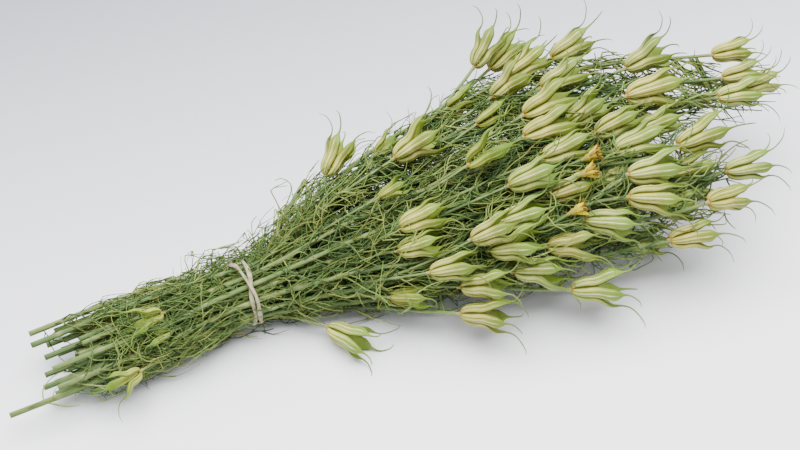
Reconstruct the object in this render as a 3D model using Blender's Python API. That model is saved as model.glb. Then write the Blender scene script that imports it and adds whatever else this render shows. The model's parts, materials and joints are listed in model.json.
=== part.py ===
"""A tied bunch of dried nigella lying on a table: cut leafy stems that end in horned seed pods.

Metres, +Z up. The origin is the flat spot under the tie, and +X runs along the bunch to the pods.
A place in the bunch is a reach along X, a clock angle round it (0 far side, 90 top, 180 near side)
and a depth, its share of the way from the middle of the bunch to the outline.
"""

import math
import random

import bmesh
import bpy
import numpy as np

UP = np.array((0.0, 0.0, 1.0))
SEED = 7

# The bunch's outline: reach, half width, half height, sideways middle
OUTLINE = (
    (-0.140, 0.028, 0.012, -0.013),
    (-0.060, 0.028, 0.017, -0.005),
    (-0.012, 0.018, 0.0165, 0.0),
    (0.008, 0.018, 0.0165, 0.0),
    (0.030, 0.033, 0.021, 0.006),
    (0.060, 0.050, 0.026, 0.010),
    (0.120, 0.066, 0.032, 0.012),
    (0.200, 0.074, 0.036, 0.012),
    (0.260, 0.068, 0.035, 0.008),
    (0.310, 0.054, 0.029, 0.002),
    (0.348, 0.048, 0.027, 0.000),
)
STATIONS = np.arange(-0.150, 0.349, 0.006)
OUTLINE_ROUNDING = 2
ROUNDING_WEIGHTS = np.full(2 * OUTLINE_ROUNDING + 1, 1 / (2 * OUTLINE_ROUNDING + 1))
FLOOR_GAP = 0.0004

# Each plant's heads as reach, clock, depth, size, lift and kind; the first ends the main stem
POD, YOUNG_POD, FLOWER, BARE = "pod", "young pod", "flower", "bare"
PLANTS = (
    ((0.176, 30, 1.15, 1.0, 0.55), (0.061, 32, 0.86, 0.95, 0.9)),
    ((0.165, 34, 1.10, 0.95, 1.1), (0.090, 51, 0.93, 0.65, 0.4, YOUNG_POD)),
    ((0.212, 35, 1.05, 1.0, 0.5), (0.140, 45, 0.98, 0.7, 0.3, YOUNG_POD)),
    ((0.303, 50, 1.12, 0.9, 0.3), (0.182, 42, 1.00, 1.0, 0.5)),
    ((0.243, 65, 1.00, 1.0, 0.7), (0.163, 60, 1.00, 0.95, 0.6)),
    ((0.296, 74, 1.00, 0.85, 0.3), (0.192, 62, 1.00, 1.05, 0.3), (0.097, 71, 0.99, 1.05, 0.3)),
    ((0.310, 70, 0.90, 0.85, 0.2), (0.195, 85, 0.95, 1.0, 0.4)),
    ((0.234, 81, 1.02, 1.2, 0.15), (0.148, 68, 0.97, 0.75, 0.3, YOUNG_POD)),
    ((0.286, 88, 0.97, 0.95, 0.3), (0.174, 78, 1.02, 1.15, 0.15), (0.080, 91, 0.92, 0.65, 0.3, YOUNG_POD)),
    ((0.232, 97, 0.95, 1.0, 0.1), (0.167, 90, 1.02, 1.15, 0.1)),
    ((0.212, 108, 1.00, 1.1, 0.1), (0.130, 96, 0.98, 1.0, 0.8, YOUNG_POD)),
    ((0.207, 97, 0.90, 1.0, 0.15), (0.190, 109, 1.04, 0.9, 0.2, FLOWER)),
    ((0.246, 111, 1.00, 1.1, 0.25), (0.172, 102, 1.00, 1.05, 0.1), (0.183, 118, 1.05, 0.8, 0.2, FLOWER)),
    ((0.211, 128, 1.00, 1.1, 0.0), (0.147, 112, 1.02, 1.05, 0.1)),
    ((0.268, 136, 1.00, 1.0, 0.2), (0.167, 119, 0.98, 0.95, 0.1), (0.084, 115, 0.97, 1.0, 0.1)),
    ((0.238, 127, 0.92, 1.0, 0.1), (-0.050, 130, 1.05, 0.6, 0.0, YOUNG_POD)),
    ((0.195, 124, 0.90, 0.9, 0.0), (0.080, 131, 0.94, 0.9, 0.0)),
    ((0.207, 143, 1.02, 1.05, 0.0), (0.135, 130, 1.00, 1.05, 0.0), (0.172, 131, 1.04, 0.8, 0.2, FLOWER)),
    ((0.250, 151, 0.96, 0.95, 0.1), (0.117, 130, 1.02, 0.95, 0.3)),
    ((0.225, 156, 0.88, 1.0, 0.1), (0.127, 148, 1.01, 1.05, 0.1)),
    ((0.181, 148, 1.02, 1.05, 0.0), (0.092, 154, 0.99, 0.95, 0.1), (-0.072, 156, 1.04, 0.75, 0.5, YOUNG_POD)),
    ((0.226, 175, 1.00, 1.0, 0.1), (0.158, 154, 0.98, 1.0, 0.1)),
    ((0.137, 168, 1.00, 1.0, 0.1), (0.070, 181, 0.96, 0.8, 0.1, YOUNG_POD)),
    ((0.165, 190, 1.15, 1.1, 0.15), (0.107, 171, 1.02, 1.0, 0.1)),
    ((0.103, 191, 1.17, 1.0, 0.2), (0.034, 200, 0.97, 1.0, 1.1)),
    ((0.049, 26, 1.18, 1.0, 0.2, BARE), (-0.052, 105, 1.07, 0.8, 0.2, YOUNG_POD)),
)
UNDERSIDE_PLANTS = 4
UNDERSIDE_CLOCKS = (222, 330)
UNDERSIDE_REACHES = (0.185, 0.262)
UNDERSIDE_DEPTH = 0.93
GOLDEN_SHARE = 0.618
GOLDEN_ANGLE = 137.5

# Stems and branches
CUT_REACHES = (-0.124, -0.096)
LONGEST_CUT = -0.143
LONGEST_PLANT = 18
STEM_SIDES = 4
STEM_RADIUS = 0.0016
BRANCH_RADIUS = 0.0010
TIP_SHARE = 0.62
BRANCH_LENGTHS = (0.060, 0.079)
FORK_RUN = 0.010
FORK_FACET = 0.0034
STRAIGHTNESS = 0.0006
SHORTEST_TUBE = 0.008
HEAD_TURN = 0.09

# Seed pods: follicles grown together below the split, horned above it
POD_LENGTH = 0.0230
POD_RADIUS = 0.0066
POD_NECK = (0.13, 0.0050, 0.0037)
POD_VALLEY = 0.62
POD_SPLIT = 0.50
POD_HEART = 0.42
POD_LOBES = {POD: 5, YOUNG_POD: 3}
POD_ROOM = 0.0072
HEAD_ROOMS = {POD: POD_ROOM, YOUNG_POD: 0.9 * POD_ROOM, FLOWER: 0.7 * POD_ROOM, BARE: STEM_RADIUS}
HEAD_RUN = 0.030
BODY_SPHERES = ((0.14, 0.0050), (0.3, 0.0056), (0.5, 0.0066), (0.7, 0.0060))
HORN_MIDDLE = (0.76, 0.0058)
HORN_TIP = (1.0, 0.0084)
HORN_HALF_WIDTH = 0.0025
HORN_KEEL = 0.0018
HORN_HEIGHTS = (0.0026, 0.0009, 0.0005, 0.0001)
BEAK_LENGTH = 0.0115
FLARES = (1.0, 0.75, 0.5, 0.3, 0.1, -0.1, -0.3)
HORN_ROOM = 0.0025
HORN_GAP = 0.0006
BEAK_ROOM = 0.0006
BEAK_GAP = 0.0011
BEAK_OWNER = 1000

# Withered flowers
PETALS = 6
PETAL_LENGTH = 0.009
PETAL_RADIUS = 0.0009
FLOWER_RADIUS = 0.0026
FLOWER_CUP = 0.0029

# Thread leaves
LEAF_STEP = 0.048
LEAF_FACET = 0.0019
THREADS_PER_LEAF = 2
THREAD_RADIUS = 0.00046
THREAD_LENGTHS = (0.016, 0.034)
THREAD_TRIES = 14
THREAD_GAP = 0.00124
THREAD_ROOT_GAP = 0.0003
THREAD_SAMPLES = 18
THREAD_OWNER = 2000

# The tie: a flat band stretched twice round, whose first turn rests flat on the table
TIE_WIDTH = 0.0028
TIE_THICKNESS = 0.0012
TIE_INNER_WIDTH = 0.0180
TIE_INNER_HEIGHT = 0.0165
TIE_FLATTENING = 0.0001
TIE_CLEARANCE = 0.0004
TIE_SPREAD = 0.0018
TIE_CROSSING = math.radians(120)
TIE_STATIONS = 60
TIE_HEIGHT = TIE_INNER_HEIGHT + TIE_THICKNESS - TIE_FLATTENING
TIE_RINGS = (-0.015, 0.009)
TIE_HOLD = (-0.019, 0.013)

# How the strands are pushed apart
RELAX_STEPS = 400
LATE_SHARE = 0.6
STRAND_GAP = 0.0014
SWING = 0.2
SWING_RANGE = 2.5
LIE_CLEAR = 0.0002
PULL = 0.02
HEAD_PULL = 0.06
SMOOTHING = 0.22
LATE_SMOOTHING = 0.06


def unit(vector):
    """The vector at length one."""
    return vector / np.linalg.norm(vector)


def smooth(share):
    """A share from 0 to 1 that eases in and out."""
    share = np.clip(share, 0.0, 1.0)
    return share * share * (3 - 2 * share)


def frame_of(direction):
    """Two directions square to this one, the first level and the second upwards."""
    level = unit(np.cross(UP, direction))
    return level, np.cross(direction, level)


def samples(corners, count):
    """Points evenly spread along a polyline."""
    corners = np.array(corners)
    travelled = np.concatenate([[0], np.cumsum(np.linalg.norm(np.diff(corners, axis=0), axis=1))])
    wanted = np.linspace(0, travelled[-1], count)
    return np.stack([np.interp(wanted, travelled, corners[:, axis]) for axis in range(3)], axis=-1)


def outline_column(column):
    """One measure of the outline at every station, with the table's corners rounded off."""
    table = np.array(OUTLINE)
    values = np.interp(STATIONS, table[:, 0], table[:, column])
    return np.convolve(np.pad(values, OUTLINE_ROUNDING, mode="edge"), ROUNDING_WEIGHTS, mode="valid")


HALF_WIDTH = outline_column(1)
HALF_HEIGHT = outline_column(2)
MIDDLE = outline_column(3)


def place(reach, clock, depth):
    """Side and height of a place in the bunch; reach may be one number or an array."""
    angle = math.radians(clock)
    side = np.interp(reach, STATIONS, MIDDLE + HALF_WIDTH * depth * math.cos(angle))
    height = np.interp(reach, STATIONS, HALF_HEIGHT * (1 + depth * math.sin(angle)))
    return np.stack([side, height + FLOOR_GAP], axis=-1)


def disc(clock, depth):
    """A place's cross position in a round bunch of radius one."""
    return depth * np.array((math.cos(math.radians(clock)), math.sin(math.radians(clock))))


def seed_heads():
    """Every plant's seed heads: those seen from above, then the ones that the bunch lies on."""
    plants = list(PLANTS)
    low, high = UNDERSIDE_CLOCKS
    near, far = UNDERSIDE_REACHES
    for index in range(UNDERSIDE_PLANTS):
        clock = low + (high - low) * index / (UNDERSIDE_PLANTS - 1)
        reach = near + (far - near) * ((0.35 + index * GOLDEN_SHARE) % 1)
        plants.append(((reach, clock, UNDERSIDE_DEPTH, 1.0, 0.1),))
    return [[(*head, POD)[:6] for head in heads] for heads in plants]


def lanes(plants):
    """Spreads the main stems like sunflower seeds, and swaps them until each suits its own heads."""
    count = len(plants)
    spots = [disc(index * GOLDEN_ANGLE, 0.93 * math.sqrt((index + 0.5) / count)) for index in range(count)]
    wanted = [0.7 * np.mean([disc(head[1], head[2]) for head in heads], axis=0) for heads in plants]
    misfit = np.array([[np.sum((spot - want) ** 2) for spot in spots] for want in wanted])
    order = list(range(count))
    swapping = True
    while swapping:
        swapping = False
        for a in range(count):
            for b in range(a + 1, count):
                kept = misfit[a, order[a]] + misfit[b, order[b]]
                swapped = misfit[a, order[b]] + misfit[b, order[a]]
                if swapped < kept - 1e-9:
                    order[a], order[b] = order[b], order[a]
                    swapping = True
    return [spots[spot] for spot in order]


class Strand:
    """A stem or a branch that ends in a head, with its path through the bunch."""

    def __init__(self, number, plant, start, head, parent=None):
        self.number = number
        self.plant = plant
        self.start = start
        self.reach, self.clock, self.depth, self.size, self.lift, self.kind = head
        self.parent = parent
        self.forward = 1 if self.reach > start else -1
        self.radius = STEM_RADIUS if parent is None else BRANCH_RADIUS
        self.room = HEAD_ROOMS[self.kind] * self.size
        self.length = self.along(self.reach)

    def along(self, reach):
        """How far a reach is from the strand's start, counted towards its head."""
        return (reach - self.start) * self.forward

    def at(self, travelled):
        """The reach at a distance from the strand's start."""
        return self.start + travelled * self.forward

    def radius_at(self, reach):
        """The stem's radius, which tapers towards the head unless its end was cut."""
        share = np.clip(self.along(reach) / self.length, 0, 1)
        return self.radius * (1 + (TIP_SHARE - 1) * share * (self.kind != BARE))

    def aim(self, base):
        """Bends a base path so that it ends at the head's place and runs on in the head's direction."""
        beyond = np.maximum(self.along(STATIONS) - self.length, 0)
        to_head = smooth(1 - (self.length - self.along(STATIONS)) / min(HEAD_TURN, self.length))
        outwards = disc(self.clock, 1.0)
        head = place(STATIONS, self.clock, self.depth) + beyond[:, None] * self.lift * outwards
        self.target = base + (head - base) * to_head[:, None]

    def point(self, reach):
        """The point of the strand at a reach."""
        side, height = (np.interp(reach, STATIONS, self.path[:, axis]) for axis in range(2))
        return np.array((reach, side, height))

    def direction(self, reach):
        """The way that the strand runs at a reach, towards its head."""
        step = 0.006 * self.forward
        return unit(self.point(reach + step) - self.point(reach - step))

    def head_axis(self):
        """The way that the head points."""
        return unit(self.point(self.at(self.length + 0.9 * POD_LENGTH)) - self.point(self.reach))


def fork_reach(head, length, end):
    """The station where a branch leaves its stem: before the stem's own head and never inside the tie."""
    if head < TIE_RINGS[0]:
        start = min(head + 0.5 * length, TIE_RINGS[0] - FORK_RUN)
    elif head - length > TIE_RINGS[1] + FORK_FACET:
        start = min(head - length, end - 0.03)
    elif head - TIE_RINGS[1] > 3 * FORK_RUN:
        start = TIE_RINGS[1] + FORK_FACET
    else:
        start = TIE_RINGS[0] - FORK_RUN
    return STATIONS[np.argmin(abs(STATIONS - start))]


def make_strands():
    """Every plant's main stem and branches, kept clear of each other."""
    draw = random.Random(SEED)
    plants = seed_heads()
    strands = []
    for number, (heads, spot) in enumerate(zip(plants, lanes(plants))):
        cut = LONGEST_CUT if number == LONGEST_PLANT else draw.uniform(*CUT_REACHES)
        main = Strand(len(strands), number, cut, heads[0])
        main.aim(place(STATIONS, math.degrees(math.atan2(spot[1], spot[0])), float(np.linalg.norm(spot))))
        strands.append(main)
        for head in heads[1:]:
            start = fork_reach(head[0], draw.uniform(*BRANCH_LENGTHS), main.reach)
            branch = Strand(len(strands), number, start, head, main)
            branch.aim(main.target)
            strands.append(branch)
    relax(strands)
    return strands


def swings(offset, close):
    """How far to turn each pair of strands about each other, where they would swap sides between two stations."""
    here, there = offset[:, :, :-1], offset[:, :, 1:]
    swapped = (np.sum(here * there, axis=-1) < 0) & close[:, :, :-1] & close[:, :, 1:]
    turn = swapped * np.sign(here[..., 0] * there[..., 1] - here[..., 1] * there[..., 0])
    square = np.stack([-offset[..., 1], offset[..., 0]], axis=-1)
    found = np.zeros_like(offset)
    found[:, :, :-1] += turn[..., None] * square[:, :, :-1]
    found[:, :, 1:] -= turn[..., None] * square[:, :, 1:]
    return found


def relax(strands):
    """Pushes the strands apart at every station, pulls them towards their aims and keeps them smooth."""
    target = np.stack([strand.target for strand in strands])
    path = target.copy()
    along = np.stack([strand.along(STATIONS) for strand in strands])
    length = np.array([strand.length for strand in strands])[:, None]
    at_head = smooth((along - length) / 0.006 + 0.6)
    active = (along > -0.006) & (along < length + HEAD_RUN)
    stem = np.stack([strand.radius_at(STATIONS) for strand in strands])
    room = np.array([strand.room for strand in strands])[:, None]
    radius = stem + (room - stem) * at_head
    lowest = radius * (1 - (1 - POD_RADIUS / POD_ROOM) * at_head) + LIE_CLEAR
    owner = np.array([strand.plant for strand in strands])
    forks = {strand.number: strand.parent.number for strand in strands if strand.parent}
    is_branch = np.array([strand.parent is not None for strand in strands])[:, None]
    past_fork = np.where(is_branch, along, 1.0)
    near_fork = np.clip(np.minimum(past_fork[:, None], past_fork[None, :]) / FORK_RUN, 0, 1)
    same_plant = (owner[:, None] == owner[None, :])[:, :, None]
    need = (radius[:, None] + radius[None, :] + STRAND_GAP) * np.where(same_plant, near_fork, 1.0)
    apart = active[:, None] & active[None, :] & ~np.eye(len(strands), dtype=bool)[:, :, None]
    share = radius[None, :] ** 2 / (radius[:, None] ** 2 + radius[None, :] ** 2)
    in_tie = ((STATIONS > TIE_HOLD[0]) & (STATIONS < TIE_HOLD[1]))[None, :]
    tie_middle = np.array((0.0, TIE_HEIGHT))
    inside = np.stack([TIE_INNER_WIDTH - TIE_CLEARANCE - radius, TIE_INNER_HEIGHT - TIE_CLEARANCE - radius], axis=-1)
    for step in range(RELAX_STEPS):
        late = step > LATE_SHARE * RELAX_STEPS
        offset = path[:, None] - path[None, :]
        distance = np.maximum(np.linalg.norm(offset, axis=-1), 1e-6)
        push = np.maximum(need - distance, 0) * apart
        path += np.sum(offset * (0.5 * push * share / distance)[..., None], axis=1)
        close = (distance < SWING_RANGE * need) & apart & ~same_plant
        path += SWING * np.sum(swings(offset, close) * share[..., None], axis=1)
        if not late:
            path += (PULL + (HEAD_PULL - PULL) * at_head)[..., None] * (target - path)
        inner = path[:, 1:-1]
        bend = 0.5 * (path[:, :-2] + path[:, 2:]) - inner
        path[:, 1:-1] = inner + (LATE_SMOOTHING if late else SMOOTHING) * bend
        path[..., 1] = np.maximum(path[..., 1], lowest)
        reached = np.linalg.norm((path - tie_middle) / inside, axis=-1)
        back = np.where(in_tie & (reached > 1) & active, reached, 1.0)
        path = tie_middle + (path - tie_middle) / back[..., None]
        for branch, parent in forks.items():
            fork = int(np.argmin(abs(STATIONS - strands[branch].start)))
            path[branch, fork] = path[parent, fork]
    for strand, found in zip(strands, path):
        strand.path = found


class Crowd:
    """Points with a radius and an owner, which says whether a new piece would touch what is there."""

    def __init__(self):
        self.points = np.zeros((0, 3))
        self.radii = np.zeros(0)
        self.owners = np.zeros(0, int)

    def add(self, points, radii, owner):
        """Adds a row of points; radii may be one number."""
        self.points = np.concatenate([self.points, points])
        self.radii = np.concatenate([self.radii, np.broadcast_to(radii, len(points))])
        self.owners = np.concatenate([self.owners, np.full(len(points), owner)])

    def clear(self, points, radius, gap, skip=()):
        """Whether a row of points of this radius keeps the gap to everything but the owners skipped."""
        near = np.all((self.points > points.min(0) - 0.014) & (self.points < points.max(0) + 0.014), axis=1)
        near &= ~np.isin(self.owners, skip)
        if not near.any():
            return True
        distance = np.linalg.norm(points[:, None] - self.points[near][None], axis=-1)
        return (distance - self.radii[near][None]).min() > radius + gap


class Head:
    """What every head has: where it sits on its strand and which way it points."""

    def __init__(self, strand):
        self.strand = strand
        self.base = strand.point(strand.reach)
        self.axis = strand.head_axis()
        self.level, self.upright = frame_of(self.axis)
        self.size = strand.size
        self.turn = 0.0

    def outwards(self, angle):
        """The direction square to the axis at an angle round it."""
        return math.cos(angle + self.turn) * self.level + math.sin(angle + self.turn) * self.upright

    def settle(self, crowd):
        """A cut end needs no room of its own."""

    def grow(self, skin, stalk):
        """A cut end is closed flat."""
        skin.face(*stalk)


class Pod(Head):
    """A seed pod: follicles grown together below, spread into beaked horns above."""

    def __init__(self, strand):
        super().__init__(strand)
        draw = random.Random(SEED * 1000 + strand.number)
        self.lobes = POD_LOBES[strand.kind]
        self.turn = draw.uniform(0, 2 * math.pi)
        self.spread = draw.uniform(0.65, 1.05)
        self.beaks = [draw.uniform(0.8, 1.25) for _ in range(self.lobes)]
        self.bends = [draw.uniform(-0.5, 0.5) for _ in range(self.lobes)]
        self.flares = [1.0] * self.lobes

    def point(self, share, radius, angle):
        """A point by its share of the pod's length, its distance from the axis and its angle."""
        return self.base + self.axis * share * POD_LENGTH * self.size + self.outwards(angle) * radius * self.size

    def lobe_angle(self, lobe):
        """The angle of a lobe's keel."""
        return 2 * math.pi * (lobe + 0.5) / self.lobes

    def horn(self, lobe, flare):
        """A horn's middle line: above the split, at the follicle's tip, along the beak and at its end."""
        angle = self.lobe_angle(lobe)
        out = self.outwards(angle)
        aside = np.cross(self.axis, out) * self.bends[lobe]
        spread = self.spread * (0.45 + 0.55 * flare)
        beak = BEAK_LENGTH * self.beaks[lobe] * self.size
        body = self.point(HORN_MIDDLE[0], HORN_MIDDLE[1] * spread + 0.0006, angle)
        tip = self.point(HORN_TIP[0], HORN_TIP[1] * spread, angle)
        bend = tip + (self.axis * 0.5 + out * 0.30 * flare + aside * 0.05) * beak
        end = bend + (self.axis * 0.36 + out * 0.48 * flare + aside * 0.35) * beak
        for point, lowest in zip((body, tip, bend, end), HORN_HEIGHTS):
            point[2] = max(point[2], lowest)
        return [body, tip, bend, end]

    def settle(self, crowd):
        """Closes each horn as far as it takes to stay clear of what is near."""
        owner = self.strand.number
        for lobe in range(self.lobes):
            for flare in FLARES:
                line = self.horn(lobe, flare)
                body, beak = samples(line[:2], 4), samples(line[1:], 9)
                free_body = crowd.clear(body, HORN_ROOM * self.size, HORN_GAP, (owner, owner + BEAK_OWNER))
                if free_body and crowd.clear(beak[2:], BEAK_ROOM, BEAK_GAP, (owner,)):
                    break
            self.flares[lobe] = flare
            crowd.add(body, HORN_ROOM * self.size, owner)
            crowd.add(beak, BEAK_ROOM, owner + BEAK_OWNER)

    def grow(self, skin, stalk):
        """Adds the pod to a skin, on the last ring of its stalk."""
        steps = range(2 * self.lobes)
        angles = [math.pi * step / self.lobes for step in steps]
        neck_share, *neck_radii = POD_NECK
        neck = skin.add([self.point(neck_share, neck_radii[1 - step % 2], angles[step]) for step in steps])
        radii = [POD_RADIUS if step % 2 else POD_RADIUS * POD_VALLEY for step in steps]
        split = skin.add([self.point(POD_SPLIT, radii[step], angles[step]) for step in steps])
        skin.band(stalk, skin.in_step(stalk, neck))
        skin.band(neck, split)
        heart = skin.add([self.point(POD_HEART, 0.0, 0.0)])[0]
        for lobe in range(self.lobes):
            valley, keel, next_valley = (split[(2 * lobe + step) % len(split)] for step in range(3))
            self.grow_horn(skin, lobe, [valley, keel, next_valley, heart])

    def grow_horn(self, skin, lobe, root):
        """Adds one follicle's free horn, with its beak."""
        body, tip, bend, end = self.horn(lobe, self.flares[lobe])
        out = self.outwards(self.lobe_angle(lobe))
        aside = np.cross(self.axis, out)
        from_axis = (body - self.base) @ out
        half = min(HORN_HALF_WIDTH * self.size, from_axis * math.tan(math.pi / self.lobes) * 0.9)
        inward = min(HORN_HALF_WIDTH * self.size, from_axis * 0.7)
        keel = body + out * HORN_KEEL * self.size
        wide = skin.add([body - aside * half, keel, body + aside * half, body - out * inward])
        narrow = skin.add([tip - aside * 0.0008, tip + out * 0.0009, tip + aside * 0.0008 - out * 0.0005])
        thin = skin.add([bend - aside * 0.0004, bend + out * 0.0005, bend + aside * 0.0005 - out * 0.0002])
        skin.band(root, wide)
        skin.band(wide, narrow)
        skin.band(narrow, thin)
        skin.fan(thin, end)


class Flower(Head):
    """A withered flower: a small cup with shrunken petals."""

    def __init__(self, strand):
        super().__init__(strand)
        draw = random.Random(SEED * 1000 + strand.number)
        self.spreads = [draw.uniform(0.2, 1.1) for _ in range(PETALS)]

    def petal(self, petal, spread):
        """A petal's middle line: its root, its middle and its tip."""
        out = self.outwards(2 * math.pi * (petal + 0.5) / PETALS)
        length = PETAL_LENGTH * self.size
        root = self.base + self.axis * FLOWER_CUP + out * FLOWER_RADIUS * 0.55 * self.size
        middle = root + (self.axis * 0.5 + out * 0.22 * spread) * length
        tip = middle + (self.axis * 0.4 + out * 0.4 * spread) * length
        return [root, middle, tip]

    def settle(self, crowd):
        """Closes each petal as far as it takes to stay clear of what is near."""
        for petal, widest in enumerate(self.spreads):
            for flare in FLARES:
                line = samples(self.petal(petal, flare * widest), 6)
                if crowd.clear(line, PETAL_RADIUS, HORN_GAP, (self.strand.number,)):
                    break
            self.spreads[petal] = flare * widest
            crowd.add(line, PETAL_RADIUS, self.strand.number)

    def grow(self, skin, stalk):
        """Adds the flower to a skin, on the last ring of its stalk."""
        rim = skin.ring(self.base + self.axis * FLOWER_CUP, self.axis, FLOWER_RADIUS * self.size, PETALS)
        skin.band(stalk, skin.in_step(stalk, rim))
        heart = skin.add([self.base + self.axis * (FLOWER_CUP + 0.0004)])[0]
        for petal, spread in enumerate(self.spreads):
            root = [rim[petal], rim[(petal + 1) % PETALS], heart]
            skin.thread(root, self.petal(petal, spread)[1:], PETAL_RADIUS)


HEADS = {POD: Pod, YOUNG_POD: Pod, FLOWER: Flower, BARE: Head}


def make_heads(strands):
    """Every strand's head, settled among the others, and the crowd of all that takes room."""
    crowd = Crowd()
    heads = [HEADS[strand.kind](strand) for strand in strands]
    for strand, head in zip(strands, heads):
        reaches = strand.at(np.arange(0, strand.length, 0.003))
        crowd.add([strand.point(reach) for reach in reaches], strand.radius_at(reaches), strand.number)
        if isinstance(head, Pod):
            for share, radius in BODY_SPHERES:
                crowd.add([head.point(share, 0.0, 0.0)], radius * head.size, strand.number)
    for head in heads:
        head.settle(crowd)
    return heads, crowd


class Thread:
    """A thread leaf: the direction in which it leaves its stem, and its path from there."""

    def __init__(self, outwards, path):
        self.outwards = outwards
        self.path = path


def draw_path(draw, root, outwards, forwards, length):
    """A curling thread's path: it leaves the stem, then bends along the bunch."""
    aside = np.cross(outwards, forwards)
    sway = draw.uniform(-0.5, 0.5)
    first = unit(outwards * draw.uniform(0.6, 1.0) + forwards * draw.uniform(0.3, 1.0) + aside * sway)
    second = unit(forwards * draw.uniform(0.6, 1.0) + outwards * draw.uniform(-0.3, 0.7) + aside * draw.uniform(-1, 1))
    third = unit(second + outwards * draw.uniform(-0.9, 0.9) + aside * draw.uniform(-0.9, 0.9))
    one = root + first * length * 0.24
    two = one + second * length * 0.38
    return [one, two, two + third * length * 0.38]


def allowed(points):
    """Whether points stay above the table, within the bunch's outline and inside the tie."""
    width = np.interp(points[:, 0], STATIONS, HALF_WIDTH)
    height = np.interp(points[:, 0], STATIONS, HALF_HEIGHT)
    side = (points[:, 1] - np.interp(points[:, 0], STATIONS, MIDDLE)) / width
    rise = (points[:, 2] - height) / height
    near_tie = (points[:, 0] > TIE_RINGS[0]) & (points[:, 0] < TIE_RINGS[1])
    limit = np.where(near_tie, 0.86, 1.12)
    return points[:, 2].min() > 0.0008 and bool(np.all(np.hypot(side, rise) < limit))


def make_threads(strand, reach, draw, crowd):
    """The threads that grow at a strand's leaf joint, each clear of all the rest."""
    direction = strand.direction(reach)
    level, upright = frame_of(direction)
    forwards = direction * strand.forward
    threads = []
    for side in draw.sample(range(STEM_SIDES), THREADS_PER_LEAF):
        angle = 2 * math.pi * (side + 0.5) / STEM_SIDES
        outwards = math.cos(angle) * level + math.sin(angle) * upright
        root = strand.point(reach) + outwards * strand.radius_at(reach) * math.cos(math.pi / STEM_SIDES)
        for _ in range(THREAD_TRIES):
            path = draw_path(draw, root, outwards, forwards, draw.uniform(*THREAD_LENGTHS))
            line = samples([root, *path], THREAD_SAMPLES)
            free_root = crowd.clear(line[1:4], THREAD_RADIUS, THREAD_ROOT_GAP, (strand.number,))
            if allowed(line[1:]) and free_root and crowd.clear(line[4:], THREAD_RADIUS, THREAD_GAP):
                crowd.add(line[1:], THREAD_RADIUS, THREAD_OWNER)
                threads.append(Thread(outwards, path))
                break
    return threads


def parting(branch):
    """How far along a branch it has come clear of its stem."""
    for travelled in np.arange(0.009, 0.036, 0.002):
        reach = branch.at(travelled)
        apart = np.linalg.norm(branch.point(reach) - branch.parent.point(reach))
        if apart > branch.parent.radius_at(reach) + branch.radius_at(reach) + 0.0009:
            break
    return travelled


def make_stops(strands, crowd):
    """What happens along each strand: its forks, its leaf joints with their threads, and the tie's rings."""
    for strand in strands:
        draw = random.Random(SEED * 100 + strand.number)
        begin = 0.0 if strand.parent is None else parting(strand)
        stops = [(strand.along(branch.start), branch) for branch in strands if branch.parent is strand]
        stops += [(strand.along(reach), None) for reach in TIE_RINGS]
        travelled = begin + LEAF_STEP * draw.uniform(0.3, 0.7)
        while travelled < strand.length - 0.012:
            if all(abs(travelled - stop[0]) > 0.007 for stop in stops):
                stops.append((travelled, make_threads(strand, strand.at(travelled), draw, crowd)))
            travelled += LEAF_STEP * draw.uniform(0.8, 1.3)
        stops = [stop for stop in stops if begin < stop[0] < strand.length]
        strand.begin, strand.stops = begin, sorted(stops, key=lambda stop: stop[0])


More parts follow.
